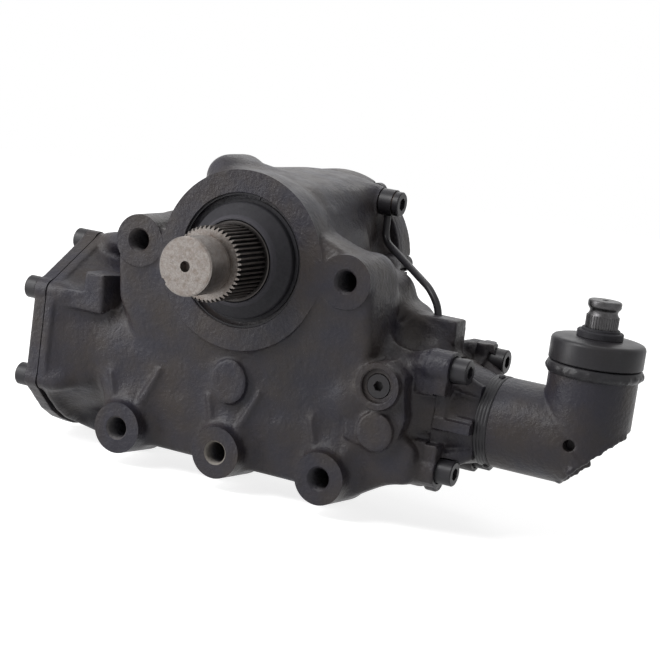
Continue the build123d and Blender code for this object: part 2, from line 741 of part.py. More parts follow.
def miter_gap(angle):
    """Tapered gap between two bevel teeth, on rays through the common apex."""
    cone_r = miter_cone
    virtual_teeth = miter_teeth / cos(pi / 4)
    base_r = cone_r * cos(pressure_angle)
    sections = []
    for reach in (miter_r * 1.35, miter_r * 0.5):
        flank = []
        for k in range(5):
            r = cone_r + miter_module * (-1.05 + 2.35 * k / 4)
            half = pi / virtual_teeth - tooth_half_angle(max(r, base_r), cone_r, virtual_teeth, miter_backlash)
            flank.append((r * cos(half) - cone_r, r * sin(half)))
        ring = [miter_ray(u, v, angle, reach) for u, v in flank]
        ring += [miter_ray(u, -v, angle, reach) for u, v in reversed(flank)]
        sections.append(make_face(Polyline(*ring, close=True)))
    return loft(sections, ruled=True)


def miter_ray(rise, side, angle, reach):
    """Point where the ray from the apex through a back cone point meets the plane at reach."""
    r = miter_r + rise * cos(pi / 4)
    depth = miter_r - rise * sin(pi / 4)
    x = r * cos(angle) - side * sin(angle)
    y = r * sin(angle) + side * cos(angle)
    scale = reach / depth
    return (x * scale, y * scale, -reach)


def miter_gear(turn, bore_r):
    """Bevel gear whose axis is local Z, with its teeth facing the apex at the local origin."""
    k = 1 - miter_face / miter_cone
    lift = 0.8 * miter_module * sin(pi / 4)
    drop = miter_drop
    corners = [(-miter_r + lift, miter_r + lift), (-miter_r - drop, miter_r - drop), (-miter_r - 9, miter_r - drop),
               (-miter_r - 9, bore_r), (k * (-miter_r - drop), bore_r), (k * (-miter_r - drop), k * (miter_r - drop)),
               (k * (-miter_r + lift), k * (miter_r + lift))]
    gear = turned(corners, (0, 0, 0), (0, 0, 1))
    for i in range(miter_teeth):
        gear -= miter_gap(2 * pi * (i + turn) / miter_teeth)
    return gear


def driven_gear():
    """Bevel gear on the valve rotor."""
    seat = Plane(origin=apex, x_dir=(0, 1, 0), z_dir=(1, 0, 0))
    return seat.location * miter_gear(0.0, drive_shaft_r + seat_gap)


def input_gear():
    """Bevel gear on the input shaft, half a tooth out of step so that the two mesh."""
    seat = Plane(origin=apex, x_dir=(0, 1, 0), z_dir=(0, 0, -1))
    return seat.location * miter_gear(0.5, drive_shaft_r + seat_gap)


def o_ring(r, centre, direction):
    """Rubber ring of square section, as it sits squeezed in its groove."""
    half = ring_section_r
    corners = [(-half, r - half), (half, r - half), (half, r + half), (-half, r + half)]
    return turned(corners, centre, direction)


def socket_screw(under_head, inward, shank_r, shank_length, head_r, head_height):
    """Socket head cap screw whose head bears at under_head and whose shank runs inward."""
    rim = 0.08 * head_r
    corners = [(-head_height, 0), (-head_height, head_r - rim), (rim - head_height, head_r), (0, head_r),
               (0, shank_r), (shank_length - 1, shank_r), (shank_length, shank_r - 1), (shank_length, 0)]
    screw = turned(corners, under_head, inward)
    seat = Plane(origin=Vector(*under_head) - Vector(*inward) * head_height, z_dir=inward)
    return screw - extrude(seat * RegularPolygon(0.55 * head_r, 6), 0.6 * head_height)


def end_cover():
    """Plate that closes the left end, with a spigot in the piston bore."""
    shape = hexagon_plate(end_cover_face, left_face)
    for point in end_bolt_points(end_cover_face):
        shape += rod(point, (left_face, point[1], point[2]), end_boss_r)
    shape += rod(on_axis(left_face), on_axis(left_face + spigot_depth), piston_bore_r - run_gap)
    shape -= o_ring(piston_bore_r - ring_section_r, on_axis(left_face + spigot_depth / 2), (1, 0, 0))
    shape -= rod(on_axis(left_face - 4), on_axis(left_face + spigot_depth + 1), piston_bore_r - 12)
    shape += rod(on_axis(end_cover_face - 2), on_axis(left_face), 24)
    for point in end_bolt_points(end_cover_face - 1):
        shape -= rod(point, (left_face + 1, point[1], point[2]), end_bolt_r + bolt_gap)
    return shape


def end_cover_seal():
    """Rubber ring on the spigot of the end cover."""
    return o_ring(piston_bore_r - ring_section_r, on_axis(left_face + spigot_depth / 2), (1, 0, 0))


def end_cover_bolts():
    """Six cap screws at the corners of the end cover."""
    length = end_cover_thick + thread_depth - 4
    return Compound(children=[
        socket_screw(point, (1, 0, 0), end_bolt_r - seat_gap, length, end_head_r, end_head_height)
        for point in end_bolt_points(end_cover_face)])


def side_cover():
    """Round rear cover that carries the shaft's rear bearing and the adjuster."""
    shape = rod((0, rear_face, 0), (0, side_cover_face - 2, 0), rear_rim_r)
    shape += rod((0, side_cover_face - 2, 0), (0, side_cover_face, 0), rear_rim_r, rear_rim_r - 2)
    shape += rod((0, side_cover_face - 1, 0), (0, side_cover_face + 8, 0), 30, 22)
    spigot_start_y = rear_face - spigot_depth
    shape += rod((0, spigot_start_y, -opening_drop), (0, rear_face, -opening_drop), opening_r - run_gap)
    shape += rod((0, sector_back + 6, 0), (0, rear_face, 0), rear_journal_r + bearing_wall + 8)
    shape -= side_cover_ring()
    shape -= rod((0, sector_back + 5, 0), (0, shaft_back + 1.5, 0), rear_journal_r + 1)
    shape -= rod((0, sector_back + 8, 0), (0, rear_face - 4, 0), rear_journal_r + bearing_wall)
    shape -= rod((0, sector_back + 5, 0), (0, sector_back + 8, 0), rear_journal_r + bearing_wall)
    shape -= rod((0, rear_face, 0), (0, side_cover_face + 9, 0), adjuster_neck_r)
    for point in side_bolt_points(side_cover_face + 1):
        shape -= rod(point, (point[0], rear_face - 1, point[2]), side_bolt_r + bolt_gap)
        shape -= rod(point, (point[0], side_head_seat, point[2]), side_head_r + bolt_gap)
    for angle in range(0, 360, 60):
        rib = Rot(0, angle + 30, 0) * block((20, rear_rim_r - 6), (side_cover_face - 1, side_cover_face + 4), (-3, 3))
        shape += rib
    return shape


def side_cover_ring():
    """Place of the rubber ring on the side cover's spigot."""
    centre = (0, rear_face - spigot_depth / 2, -opening_drop)
    return o_ring(opening_r - run_gap - ring_section_r, centre, (0, 1, 0))


def side_cover_seal():
    """Rubber ring between the side cover and the housing."""
    return side_cover_ring()


def side_cover_bolts():
    """Six cap screws round the side cover."""
    length = side_head_seat - rear_face + thread_depth - 6
    return Compound(children=[
        socket_screw(point, (0, -1, 0), side_bolt_r - seat_gap, length, side_head_r, side_head_height)
        for point in side_bolt_points(side_head_seat)])


def valve_cover():
    """Cast cover over the valve, with four ears, a waist and a collar for the angle drive."""
    shape = rod(on_axis(valve_face), on_axis(valve_cover_face), valve_bore_r + 6)
    for y in (-1, 1):
        for z in (-1, 1):
            ear = about_axis(valve_face, y * ear_offset, z * ear_offset)
            shape += rod(ear, (valve_cover_face, ear[1], ear[2]), ear_r)
            arm = Pos(valve_face + valve_flange_thick / 2, piston_y, piston_z) * Rot(45 * y * z, 0, 0)
            reach = y * ear_offset * sqrt(2) / 2
            shape += arm * Pos(0, reach, 0) * Box(valve_flange_thick, ear_offset * sqrt(2), 2 * ear_r - 4)
    shape += rod(on_axis(valve_cover_face), on_axis(ring_start), valve_bore_r + 4, neck_r)
    shape += rod(on_axis(valve_face), on_axis(ring_start), neck_r)
    shape += block((valve_cover_face - 1, ring_start), (piston_y - neck_r - 6, piston_y), (piston_z - 5, piston_z + 5))
    shape += block((valve_face, valve_cover_face), *rear_ear_block())
    shape += rod(about_axis(valve_face, *ear_lobe), about_axis(valve_cover_face, *ear_lobe), ear_lobe_r)
    gusset = Polygon((valve_cover_face - 1, piston_z + 20), (valve_cover_face - 1, ear_top),
                     (valve_cover_face + 4, ear_top), (ring_start - 3, piston_z + 20), align=None)
    shape += across(gusset, piston_y + 20, piston_y + 33)
    shape -= rod(on_axis(valve_face - 1), on_axis(ring_start + 1), spigot_r)
    for point in ear_points(valve_face - 1):
        shape -= rod(point, (valve_cover_face + 1, point[1], point[2]), valve_bolt_r + bolt_gap)
        shape -= rod((valve_cover_face, point[1], point[2]), (ring_start + 8, point[1], point[2]), valve_head_r + 1)
    return shape


def valve_bearing():
    """Needle bearing round the right end of the valve body."""
    return tube(on_axis(valve_end - 9), on_axis(valve_end - 1), spigot_r - seat_gap, valve_r + run_gap)


def valve_cover_bolts():
    """Four cap screws through the ears of the valve cover."""
    length = valve_flange_thick + thread_depth - 3
    return Compound(children=[
        socket_screw(point, (-1, 0, 0), valve_bolt_r - seat_gap, length, valve_head_r, valve_head_height)
        for point in ear_points(valve_cover_face)])


def worm_bearing():
    """Needle bearing round the valve body, where the worm starts."""
    return tube(on_axis(valve_start + 2), on_axis(worm_bearing_end), valve_bore_r - seat_gap, valve_r + run_gap)


def adjuster_ring():
    """Threaded ring between the valve cover and the angle drive, notched for a hook spanner."""
    shape = tube(on_axis(ring_start), on_axis(drive_start), tube_r + 1, spigot_r)
    for x in (ring_start + 3.5, ring_start + 7.5):
        shape -= tube(on_axis(x), on_axis(x + 0.8), tube_r + 2, tube_r - 0.2)
    for angle in range(0, 360, 45):
        notch = Pos(*on_axis(ring_start + 5.8)) * Rot(angle + 20, 0, 0) * Pos(0, 0, tube_r + 1) * Box(5, 7, 3)
        shape -= notch
    return shape


def half_space(origin, direction):
    """Large block on the far side of a plane, for cutting."""
    seat = Plane(origin=origin, z_dir=direction)
    return seat * Box(400, 400, 200, align=(Align.CENTER, Align.CENTER, Align.MIN))


def drive_housing():
    """Mitred elbow that turns the drive from the piston axis up to the input shaft."""
    level = rod(on_axis(drive_start), on_axis(drive_x + tube_r), tube_r)
    level -= half_space(apex, (1, 0, 1))
    upright = rod((drive_x, piston_y, piston_z - tube_r), (drive_x, piston_y, tube_top), upright_r)
    upright -= half_space(apex, (-1, 0, -1))
    shape = level + upright
    corner = mitre_cut / sqrt(2)
    shape -= half_space((drive_x + corner, piston_y - 25, piston_z - corner), (1, mitre_tilt, -1))
    shape += rod(on_axis(spigot_start), on_axis(drive_start), spigot_r - run_gap)
    shape -= rod(on_axis(spigot_start - 1), on_axis(drive_x - 11), gear_cavity_r)
    shape -= rod((drive_x, piston_y, piston_z + 11), (drive_x, piston_y, tube_top + 1), gear_cavity_r)
    shape -= rod((drive_x, piston_y - tube_r - 1, piston_z + 1), (drive_x, piston_y - 30, piston_z + 1), 4.2)
    return shape


def level_bearing():
    """Bearing of the valve rotor's shaft in the angle drive."""
    end = level_bearing_x + drive_bearing_width
    return tube(on_axis(level_bearing_x), on_axis(end), gear_cavity_r - seat_gap, drive_shaft_r + run_gap)


def upright_bearing():
    """Bearing of the input shaft in the angle drive."""
    end = upright_bearing_z + drive_bearing_width
    return tube((drive_x, piston_y, upright_bearing_z), (drive_x, piston_y, end), gear_cavity_r - seat_gap,
                drive_shaft_r + run_gap)


def lock_bead():
    """Rounded lock ring between the elbow and the input cap."""
    corners = [(tube_top, cap_spigot_r), (tube_top, cap_r - 1.5), (tube_top + 2.5, cap_r + 0.5),
               (bead_top - 2.5, cap_r + 0.5), (bead_top - 0.6, cap_r - 1), (bead_top - 0.6, cap_spigot_r)]
    return turned(corners, (drive_x, piston_y, 0), (0, 0, 1))


def input_cap():
    """Screwed cap that holds the input shaft's bearing, with rounded shoulders."""
    bore = drive_shaft_r + 2
    corners = [(tube_top - 3, bore), (tube_top - 3, gear_cavity_r - seat_gap), (tube_top, gear_cavity_r - seat_gap),
               (tube_top, cap_spigot_r - seat_gap), (bead_top, cap_spigot_r - seat_gap), (bead_top, cap_r),
               (cap_top - 5, cap_r), (cap_top - 1.5, cap_r - 1.5), (cap_top, cap_r - 5), (cap_top, bore)]
    shape = turned(corners, (drive_x, piston_y, 0), (0, 0, 1))
    shape -= tube((drive_x, piston_y, cap_top - 1.2), (drive_x, piston_y, cap_top + 1), 30, 24)
    return shape


def input_dust_seal():
    """Rubber collar where the input shaft leaves the cap."""
    r_in = drive_shaft_r + run_gap
    corners = [(cap_top - 6, r_in), (cap_top - 6, drive_shaft_r + 1.9), (cap_top, drive_shaft_r + 1.9),
               (cap_top, collar_r), (collar_top - 3, collar_r), (collar_top, collar_r - 2.5), (collar_top, r_in)]
    return turned(corners, (drive_x, piston_y, 0), (0, 0, 1))


def input_shaft():
    """Serrated input shaft with the groove for a pinch bolt."""
    shape = turned([(gear_nose_z, 0), (gear_nose_z, drive_shaft_r), (collar_top, drive_shaft_r),
                    (collar_top, input_root_r), (3, input_root_r), (5, 11), (8, 11), (10, input_r - 0.2),
                    (input_top - 1, input_r - 0.2), (input_top, input_r - 1.2), (input_top, 0)],
                   (drive_x, piston_y, 0), (0, 0, 1))
    shape += spline_ring(input_teeth, input_r, input_root_r - 0.1, collar_top, 3, (drive_x, piston_y, 0), (0, 0, 1))
    return shape - rod((drive_x, piston_y, input_top - 4), (drive_x, piston_y, input_top + 1), 3)


def front_plug():
    """Socket plug in the front boss."""
    front = plug_seat - 0.5
    shape = rod((plug_x, front, plug_z), (plug_x, plug_seat + 11, plug_z), plug_r - seat_gap)
    return shape - across(Pos(plug_x, plug_z) * RegularPolygon(4.6, 6), front - 1, front + 6)


def banjo_eye():
    """Eye of the oil line on its boss."""
    start = banjo_seat + banjo_washer
    shape = rod((start, banjo_y, banjo_z), (start + banjo_width, banjo_y, banjo_z), banjo_r)
    shape -= rod((start - 1, banjo_y, banjo_z), (start + banjo_width + 1, banjo_y, banjo_z), banjo_thread_r + 1)
    inlet = oil_route[0]
    return shape - rod(inlet, (inlet[0], inlet[1], inlet[2] - 10), tube_line_r + seat_gap)


def banjo_washers():
    """Two copper washers, one each side of the eye."""
    rings = []
    for x in (banjo_seat, banjo_seat + banjo_washer + banjo_width):
        rings.append(tube((x, banjo_y, banjo_z), (x + banjo_washer, banjo_y, banjo_z), banjo_r - 1, banjo_thread_r))
    return Compound(children=rings)


def banjo_bolt():
    """Hollow bolt of the oil line, with a socket head."""
    seat = banjo_seat + 2 * banjo_washer + banjo_width
    length = seat - banjo_seat + banjo_grip
    return socket_screw((seat, banjo_y, banjo_z), (-1, 0, 0), banjo_thread_r - seat_gap, length, banjo_r - 1, banjo_head)


def oil_tube():
    """Bent steel tube from the eye down into the port block."""
    path = FilletPolyline(*oil_route, radius=oil_bend_r)
    start = Plane(origin=path @ 0, z_dir=path % 0)
    return sweep(start * Circle(tube_line_r), path=path)


def build_all():
    """Every piece by its name."""
    return {
        "housing": housing(),
        "sector_shaft": sector_shaft(),
        "adjuster_screw": adjuster_screw(),
        "adjuster_locknut": adjuster_locknut(),
        "front_bearing": front_bearing(),
        "rear_bearing": rear_bearing(),
        "shaft_seal": shaft_seal(),
        "dust_seal": dust_seal(),
        "retaining_ring": retaining_ring(),
        "rack_piston": rack_piston(),
        "ball_train": ball_train(),
        "ball_guide": ball_guide(),
        "piston_ring": piston_ring(),
        "worm_shaft": worm_shaft(),
        "torsion_bar": torsion_bar(),
        "valve_rotor": valve_rotor(),
        "driven_gear": driven_gear(),
        "input_gear": input_gear(),
        "end_cover": end_cover(),
        "end_cover_seal": end_cover_seal(),
        "end_cover_bolts": end_cover_bolts(),
        "side_cover": side_cover(),
        "side_cover_seal": side_cover_seal(),
        "side_cover_bolts": side_cover_bolts(),
        "valve_cover": valve_cover(),
        "valve_bearing": valve_bearing(),
        "valve_cover_bolts": valve_cover_bolts(),
        "worm_bearing": worm_bearing(),
        "adjuster_ring": adjuster_ring(),
        "drive_housing": drive_housing(),
        "level_bearing": level_bearing(),
        "upright_bearing": upright_bearing(),
        "lock_bead": lock_bead(),
        "input_cap": input_cap(),
        "input_dust_seal": input_dust_seal(),
        "input_shaft": input_shaft(),
        "front_plug": front_plug(),
        "banjo_eye": banjo_eye(),
        "banjo_washers": banjo_washers(),
        "banjo_bolt": banjo_bolt(),
        "oil_tube": oil_tube(),
    }


os.makedirs("parts", exist_ok=True)
for name, shape in build_all().items():
    export_step(shape, f"parts/{name}.step")
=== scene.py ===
import json
from contextlib import contextmanager
from math import cos, pi, radians, sin

import bmesh
import bpy
from mathutils import Matrix, Vector


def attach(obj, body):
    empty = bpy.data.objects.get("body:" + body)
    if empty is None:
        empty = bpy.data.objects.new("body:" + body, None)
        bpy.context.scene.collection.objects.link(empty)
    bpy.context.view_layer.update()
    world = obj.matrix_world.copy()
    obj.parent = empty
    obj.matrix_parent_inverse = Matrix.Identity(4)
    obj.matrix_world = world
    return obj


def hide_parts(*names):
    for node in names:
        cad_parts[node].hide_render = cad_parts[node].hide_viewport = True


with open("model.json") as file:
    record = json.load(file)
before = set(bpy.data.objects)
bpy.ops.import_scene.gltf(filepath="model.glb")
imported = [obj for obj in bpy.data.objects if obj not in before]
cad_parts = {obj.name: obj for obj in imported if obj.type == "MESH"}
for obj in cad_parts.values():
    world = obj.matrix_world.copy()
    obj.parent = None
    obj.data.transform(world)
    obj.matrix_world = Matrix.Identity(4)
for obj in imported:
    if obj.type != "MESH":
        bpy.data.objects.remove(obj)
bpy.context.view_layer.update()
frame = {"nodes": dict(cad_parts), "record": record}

# Lengths are in millimetres and become metres where a mesh or a material is made. X runs along the piston
# towards the angle drive, Y from the mounting face to the rear, and Z up. The output shaft turns about
# the Y axis.
MM = 0.001

# Piston bore, and the faces along it from left to right
piston_y = 80.0
piston_z = -102.0
end_cover_face = -202.0
left_face = -189.0
valve_face = 180.0
valve_cover_face = 190.0
ring_start = 213.5
drive_start = 225.0
piston_bore_r = 55.05
valve_bore_r = 40.0
hexagon_apothem = 78.5
end_bolt_circle_r = 80.2
ear_offset = 43.0
ear_r = 14.6
# Masses run this far past a face that is machined back later
spare = 4.0
# Cutters for holes start this far outside the face that they enter
clear = 8.0

# Tower round the output shaft
tower_r = 61.0
front_rim_r = 76.5
seal_pocket_r = 57.0
rear_face = 165.0
rear_rim_r = 75.5
side_bolt_circle_r = 70.5
stub_end = -90.7
spline_start = -57.0

# Mounting holes
hole_pitch = 100.0
lower_z = -167.4
boss_r = 22.5
mount_hole_r = 9.2
mount_mouth_r = 10.75

# Front plug, oil ports at the rear, and the oil line
plug_x, plug_z = 140.0, -80.0
plug_boss_face = 1.8
plug_seat = 5.5
plug_head_r = 14.3
plug_hole_r = 10.0
port_places = (96.0, 140.0)
port_z = -82.0
port_face = 158.0
banjo_y, banjo_z = 148.5, 56.0
banjo_seat = 57.0
line_r = 3.25
foot_x, foot_y = 151.0, 88.0

# Angle drive
drive_x = 296.0
tube_r = 38.5
upright_r = 37.0
tube_top = -47.0
drive_bore_r = 27.5
cap_bottom = -36.5

# Axes that solids are turned about, each as a point and a direction
output_axis = ((0, 0, 0), (0, 1, 0))
piston_axis = ((0, piston_y, piston_z), (1, 0, 0))
input_axis = ((drive_x, piston_y, 0), (0, 0, 1))

floor_z = -200.5


# Mesh tools


def on_axis(x, y=0.0, z=0.0):
    """Point at x, offset by y and z from the piston axis."""
    return (x, piston_y + y, piston_z + z)


def add_rod(bm, start, end, r, r_end=None, sides=64):
    """Adds a closed round bar, tapered when a second radius is given."""
    a, b = Vector(start), Vector(end)
    path = b - a
    place = Matrix.Translation((a + b) / 2 * MM) @ path.to_track_quat("Z", "Y").to_matrix().to_4x4()
    bmesh.ops.create_cone(
        bm, cap_ends=True, segments=sides, radius1=r * MM, radius2=(r if r_end is None else r_end) * MM,
        depth=path.length * MM, matrix=place)


def add_ball(bm, centre, r, squash=(1, 1, 1)):
    """Adds a ball, stretched by the three factors."""
    place = Matrix.Translation(Vector(centre) * MM) @ Matrix.Diagonal((*squash, 1))
    bmesh.ops.create_icosphere(bm, subdivisions=4, radius=r * MM, matrix=place)


def add_block(bm, x, y, z):
    """Adds a box spanning the three (low, high) pairs."""
    low, high = Vector((x[0], y[0], z[0])), Vector((x[1], y[1], z[1]))
    place = Matrix.Translation((low + high) / 2 * MM) @ Matrix.Diagonal((*((high - low) * MM), 1))
    bmesh.ops.create_cube(bm, size=1.0, matrix=place)


def add_skin(bm, one, two):
    """Closes two rings of corners and joins them by a wall."""
    bm.faces.new(one)
    bm.faces.new(list(reversed(two)))
    for i in range(len(one)):
        j = (i + 1) % len(one)
        bm.faces.new((one[j], one[i], two[i], two[j]))


def add_prism(bm, near, front, back, far=None):
    """Adds a solid between the (x, z) outlines near, at Y front, and far, at Y back."""
    one = [bm.verts.new(Vector((x, front, z)) * MM) for x, z in near]
    two = [bm.verts.new(Vector((x, back, z)) * MM) for x, z in far or near]
    add_skin(bm, one, two)


def add_lathe(bm, corners, origin, direction, sides=96):
    """Adds a solid of revolution whose closed half section has the corners (distance, radius)."""
    axis = Vector(direction).normalized()
    turn = axis.to_track_quat("Z", "Y").to_matrix()
    base = Vector(origin)
    rings = []
    for along, r in corners:
        if r < 1e-6:
            rings.append([bm.verts.new((base + axis * along) * MM)])
            continue
        ring = []
        for i in range(sides):
            a = 2 * pi * i / sides
            ring.append(bm.verts.new((base + axis * along + turn @ Vector((r * cos(a), r * sin(a), 0))) * MM))
        rings.append(ring)
    for k in range(len(rings)):
        one, two = rings[k], rings[(k + 1) % len(rings)]
        if len(one) == 1 and len(two) == 1:
            continue
        for i in range(sides):
            j = (i + 1) % sides
            quad = [one[i % len(one)], one[j % len(one)], two[j % len(two)], two[i % len(two)]]
            bm.faces.new(list(dict.fromkeys(quad)))


def add_hexagon(bm, left, right, apothem=hexagon_apothem, right_apothem=hexagon_apothem, corner_r=12.0):
    """Adds the rounded hexagon of the left end, tapered when the second size differs."""
    rings = []
    for x, size in ((left, apothem), (right, right_apothem)):
        outline = []
        for i in range(6):
            c = pi / 6 + i * pi / 3
            centre = (size - corner_r) / cos(pi / 6)
            for step in range(7):
                a = c + radians(10 * step - 30)
                outline.append((centre * cos(c) + corner_r * cos(a), centre * sin(c) + corner_r * sin(a)))
        rings.append([bm.verts.new(Vector(on_axis(x, y, z)) * MM) for y, z in outline])
    add_skin(bm, *rings)


def in_scene(name, data):
    """Adds an object with the given data to the scene."""
    thing = bpy.data.objects.new(name, data)
    bpy.context.scene.collection.objects.link(thing)
    return thing


def to_object(bm, name):
    """Turns the bmesh into an object in the scene, with its faces pointing outwards."""
    bmesh.ops.recalc_face_normals(bm, faces=bm.faces)
    mesh = bpy.data.meshes.new(name)
    bm.to_mesh(mesh)
    bm.free()
    return in_scene(name, mesh)


def final_mesh(thing):
    """New mesh of what the object's modifiers or curve settings make of it."""
    graph = bpy.context.evaluated_depsgraph_get()
    return bpy.data.meshes.new_from_object(thing.evaluated_get(graph))


def settle(piece):
    """Replaces the piece's mesh by what its modifiers make of it."""
    mesh = final_mesh(piece)
    old = piece.data
    piece.modifiers.clear()
    piece.data = mesh
    bpy.data.meshes.remove(old)


def drop(piece):
    """Deletes a helper object."""
    mesh = piece.data
    bpy.data.objects.remove(piece)
    bpy.data.meshes.remove(mesh)


def carve(piece, cutter, mode="DIFFERENCE"):
    """Cuts the cutter out of the piece, or keeps both in one, and deletes the cutter."""
    change = piece.modifiers.new("carve", "BOOLEAN")
    change.operation = mode
    change.solver = "MANIFOLD"
    change.object = cutter
    settle(piece)
    drop(cutter)


@contextmanager
def cutting(piece, mode="DIFFERENCE"):
    """Gives an empty bmesh, and carves the piece with what has been added to it."""
    bm = bmesh.new()
    yield bm
    carve(piece, to_object(bm, "cut"), mode)


def soften(piece, voxel, repeats):
    """Melts overlapping solids into one skin with rounded inner and outer corners."""
    melt = piece.modifiers.new("melt", "REMESH")
    melt.mode = "VOXEL"
    melt.voxel_size = voxel * MM
    settle(piece)
    blur = piece.modifiers.new("blur", "SMOOTH")
    blur.factor = 0.5
    blur.iterations = repeats
    settle(piece)


def shade(piece, angle):
    """Smooth shading with sharp edges where faces meet at more than the angle."""
    bm = bmesh.new()
    bm.from_mesh(piece.data)
    for face in bm.faces:
        face.smooth = True
    limit = radians(angle)
    for edge in bm.edges:
        edge.smooth = not (edge.is_manifold and edge.calc_face_angle(0) > limit)
    bm.to_mesh(piece.data)
    bm.free()


def rough_copy(node):
    """bmesh with the CAD node's form, to which a casting's details are added."""
    bm = bmesh.new()
    bm.from_mesh(frame["nodes"][node].data)
    bmesh.ops.remove_doubles(bm, verts=bm.verts, dist=1e-7)
    return bm


def circle_points(count, r, first=0.0):
    """Evenly spaced (u, v) points on a circle."""
    return [(r * cos(first + 2 * pi * i / count), r * sin(first + 2 * pi * i / count)) for i in range(count)]


end_bolt_places = circle_points(6, end_bolt_circle_r, pi / 2)
side_bolt_places = circle_points(6, side_bolt_circle_r)
ear_places = [(y, z) for y in (-ear_offset, ear_offset) for z in (-ear_offset, ear_offset)]
upper_mounts = [(-hole_pitch, 0.0), (hole_pitch, 0.0)]
lower_mounts = [(-hole_pitch, lower_z), (0.0, lower_z), (hole_pitch, lower_z)]
mount_places = upper_mounts + lower_mounts


# Materials


def maths(tree, operation, a, b):
    """Joins two values by a maths node."""
    node = tree.nodes.new("ShaderNodeMath")
    node.operation = operation
    tree.links.new(a, node.inputs[0])
    tree.links.new(b, node.inputs[1])
    return node.outputs[0]


class Nodes:
    """Short calls for building one material's node tree."""

    def __init__(self, name):
        self.material = bpy.data.materials.new(name)
        self.material.use_nodes = True
        self.tree = self.material.node_tree
        self.shader = self.tree.nodes["Principled BSDF"]
        self.where = self.tree.nodes.new("ShaderNodeTexCoord").outputs["Object"]

    def link(self, a, b):
        self.tree.links.new(a, b)

    def noise(self, size, detail=3.0, rough=0.55, stretch=None):
        """Noise whose blobs are about size millimetres across."""
        node = self.tree.nodes.new("ShaderNodeTexNoise")
        node.inputs["Scale"].default_value = 1 / (size * MM)
        node.inputs["Detail"].default_value = detail
        node.inputs["Roughness"].default_value = rough
        if stretch:
            place = self.tree.nodes.new("ShaderNodeMapping")
            place.inputs["Scale"].default_value = stretch
            self.link(self.where, place.inputs["Vector"])
            self.link(place.outputs["Vector"], node.inputs["Vector"])
        else:
            self.link(self.where, node.inputs["Vector"])
        return node.outputs["Fac"]

    def spread(self, value, low, high, to_low, to_high):
        """Maps a value from one range to another, clamped."""
        node = self.tree.nodes.new("ShaderNodeMapRange")
        for name, number in (("From Min", low), ("From Max", high), ("To Min", to_low), ("To Max", to_high)):
            node.inputs[name].default_value = number
        self.link(value, node.inputs["Value"])
        return node.outputs["Result"]

    def length(self, vector):
        """Length of a vector, in metres."""
        node = self.tree.nodes.new("ShaderNodeVectorMath")
        node.operation = "LENGTH"
        self.link(vector, node.inputs[0])
        return node.outputs["Value"]

    def radius(self, x=0.0, z=0.0):
        """Distance in metres from the line along Y through (x, z)."""
        flat = self.tree.nodes.new("ShaderNodeVectorMath")
        flat.operation = "MULTIPLY_ADD"
        flat.inputs[1].default_value = (1, 0, 1)
        flat.inputs[2].default_value = (-x * MM, 0, -z * MM)
        self.link(self.where, flat.inputs[0])
        return self.length(flat.outputs[0])

    def depth(self):
        """Y of the point, in metres."""
        split = self.tree.nodes.new("ShaderNodeSeparateXYZ")
        self.link(self.where, split.inputs[0])
        return split.outputs["Y"]

    def ramp(self, value, stops):
        """Colour ramp with stops (position, (r, g, b))."""
        node = self.tree.nodes.new("ShaderNodeValToRGB")
        marks = node.color_ramp.elements
        while len(marks) < len(stops):
            marks.new(0.5)
        for mark, (place, colour) in zip(marks, stops):
            mark.position = place
            mark.color = (*colour, 1)
        self.link(value, node.inputs["Fac"])
        return node.outputs["Color"]

    def mix(self, factor, a, b):
        """Colour a where the factor is 0 and b where it is 1."""
        node = self.tree.nodes.new("ShaderNodeMix")
        node.data_type = "RGBA"
        self.link(factor, node.inputs["Factor"])
        for value, place in ((a, node.inputs[6]), (b, node.inputs[7])):
            if isinstance(value, tuple):
                place.default_value = (*value, 1)
            else:
                self.link(value, place)
        return node.outputs[2]

    def paint(self, colour):
        """Gives the shader its colour."""
        self.link(colour, self.shader.inputs["Base Color"])

    def roughen(self, noise, low, high):
        """Lets the roughness drift between two values."""
        self.link(self.spread(noise, 0.3, 0.7, low, high), self.shader.inputs["Roughness"])

    def bump(self, layers):
        """Chains bumps from (height, depth in millimetres) pairs."""
        normal = None
        for height, depth in layers:
            node = self.tree.nodes.new("ShaderNodeBump")
            node.inputs["Strength"].default_value = 1.0
            node.inputs["Distance"].default_value = depth * MM
            self.link(height, node.inputs["Height"])
            if normal:
                self.link(normal, node.inputs["Normal"])
            normal = node.outputs["Normal"]
        self.link(normal, self.shader.inputs["Normal"])

    def set(self, **values):
        """Sets constants on the shader's own sockets."""
        for name, value in values.items():
            self.shader.inputs[name.replace("_", " ")].default_value = value


def black_paint(name, base, warm, rough, peel, sand, wave, bare=()):
    """Black satin paint with drifts of colour, orange peel, sand texture and slow waves.

    Depths are in millimetres. The threads of the holes at the (x, z, share) places in bare have worn
    bright by that share.
    """
    m = Nodes(name)
    drift = m.spread(m.noise(38, 3.0), 0.36, 0.66, 0.0, 1.0)
    speck = m.spread(m.noise(2.6, 4.0, 0.7), 0.58, 0.74, 0.0, 0.55)
    colour = m.mix(speck, m.mix(drift, base, warm), tuple(1.9 * c for c in base))
    for x, z, share in bare:
        inside = m.spread(m.radius(x, z), 10.8 * MM, 10.4 * MM, 0.0, share)
        shallow = m.spread(m.depth(), 3.0 * MM, 14.0 * MM, 1.0, 0.0)
        colour = m.mix(maths(m.tree, "MULTIPLY", inside, shallow), colour, (0.30, 0.275, 0.24))
    m.paint(colour)
    m.roughen(m.noise(14, 4.0, 0.6), *rough)
    m.bump([(m.noise(24, 2.0), wave), (m.noise(3.4, 4.0, 0.6), sand), (m.noise(0.8, 3.0, 0.6), peel)])
    m.set(Specular_IOR_Level=0.24)
    return m.material


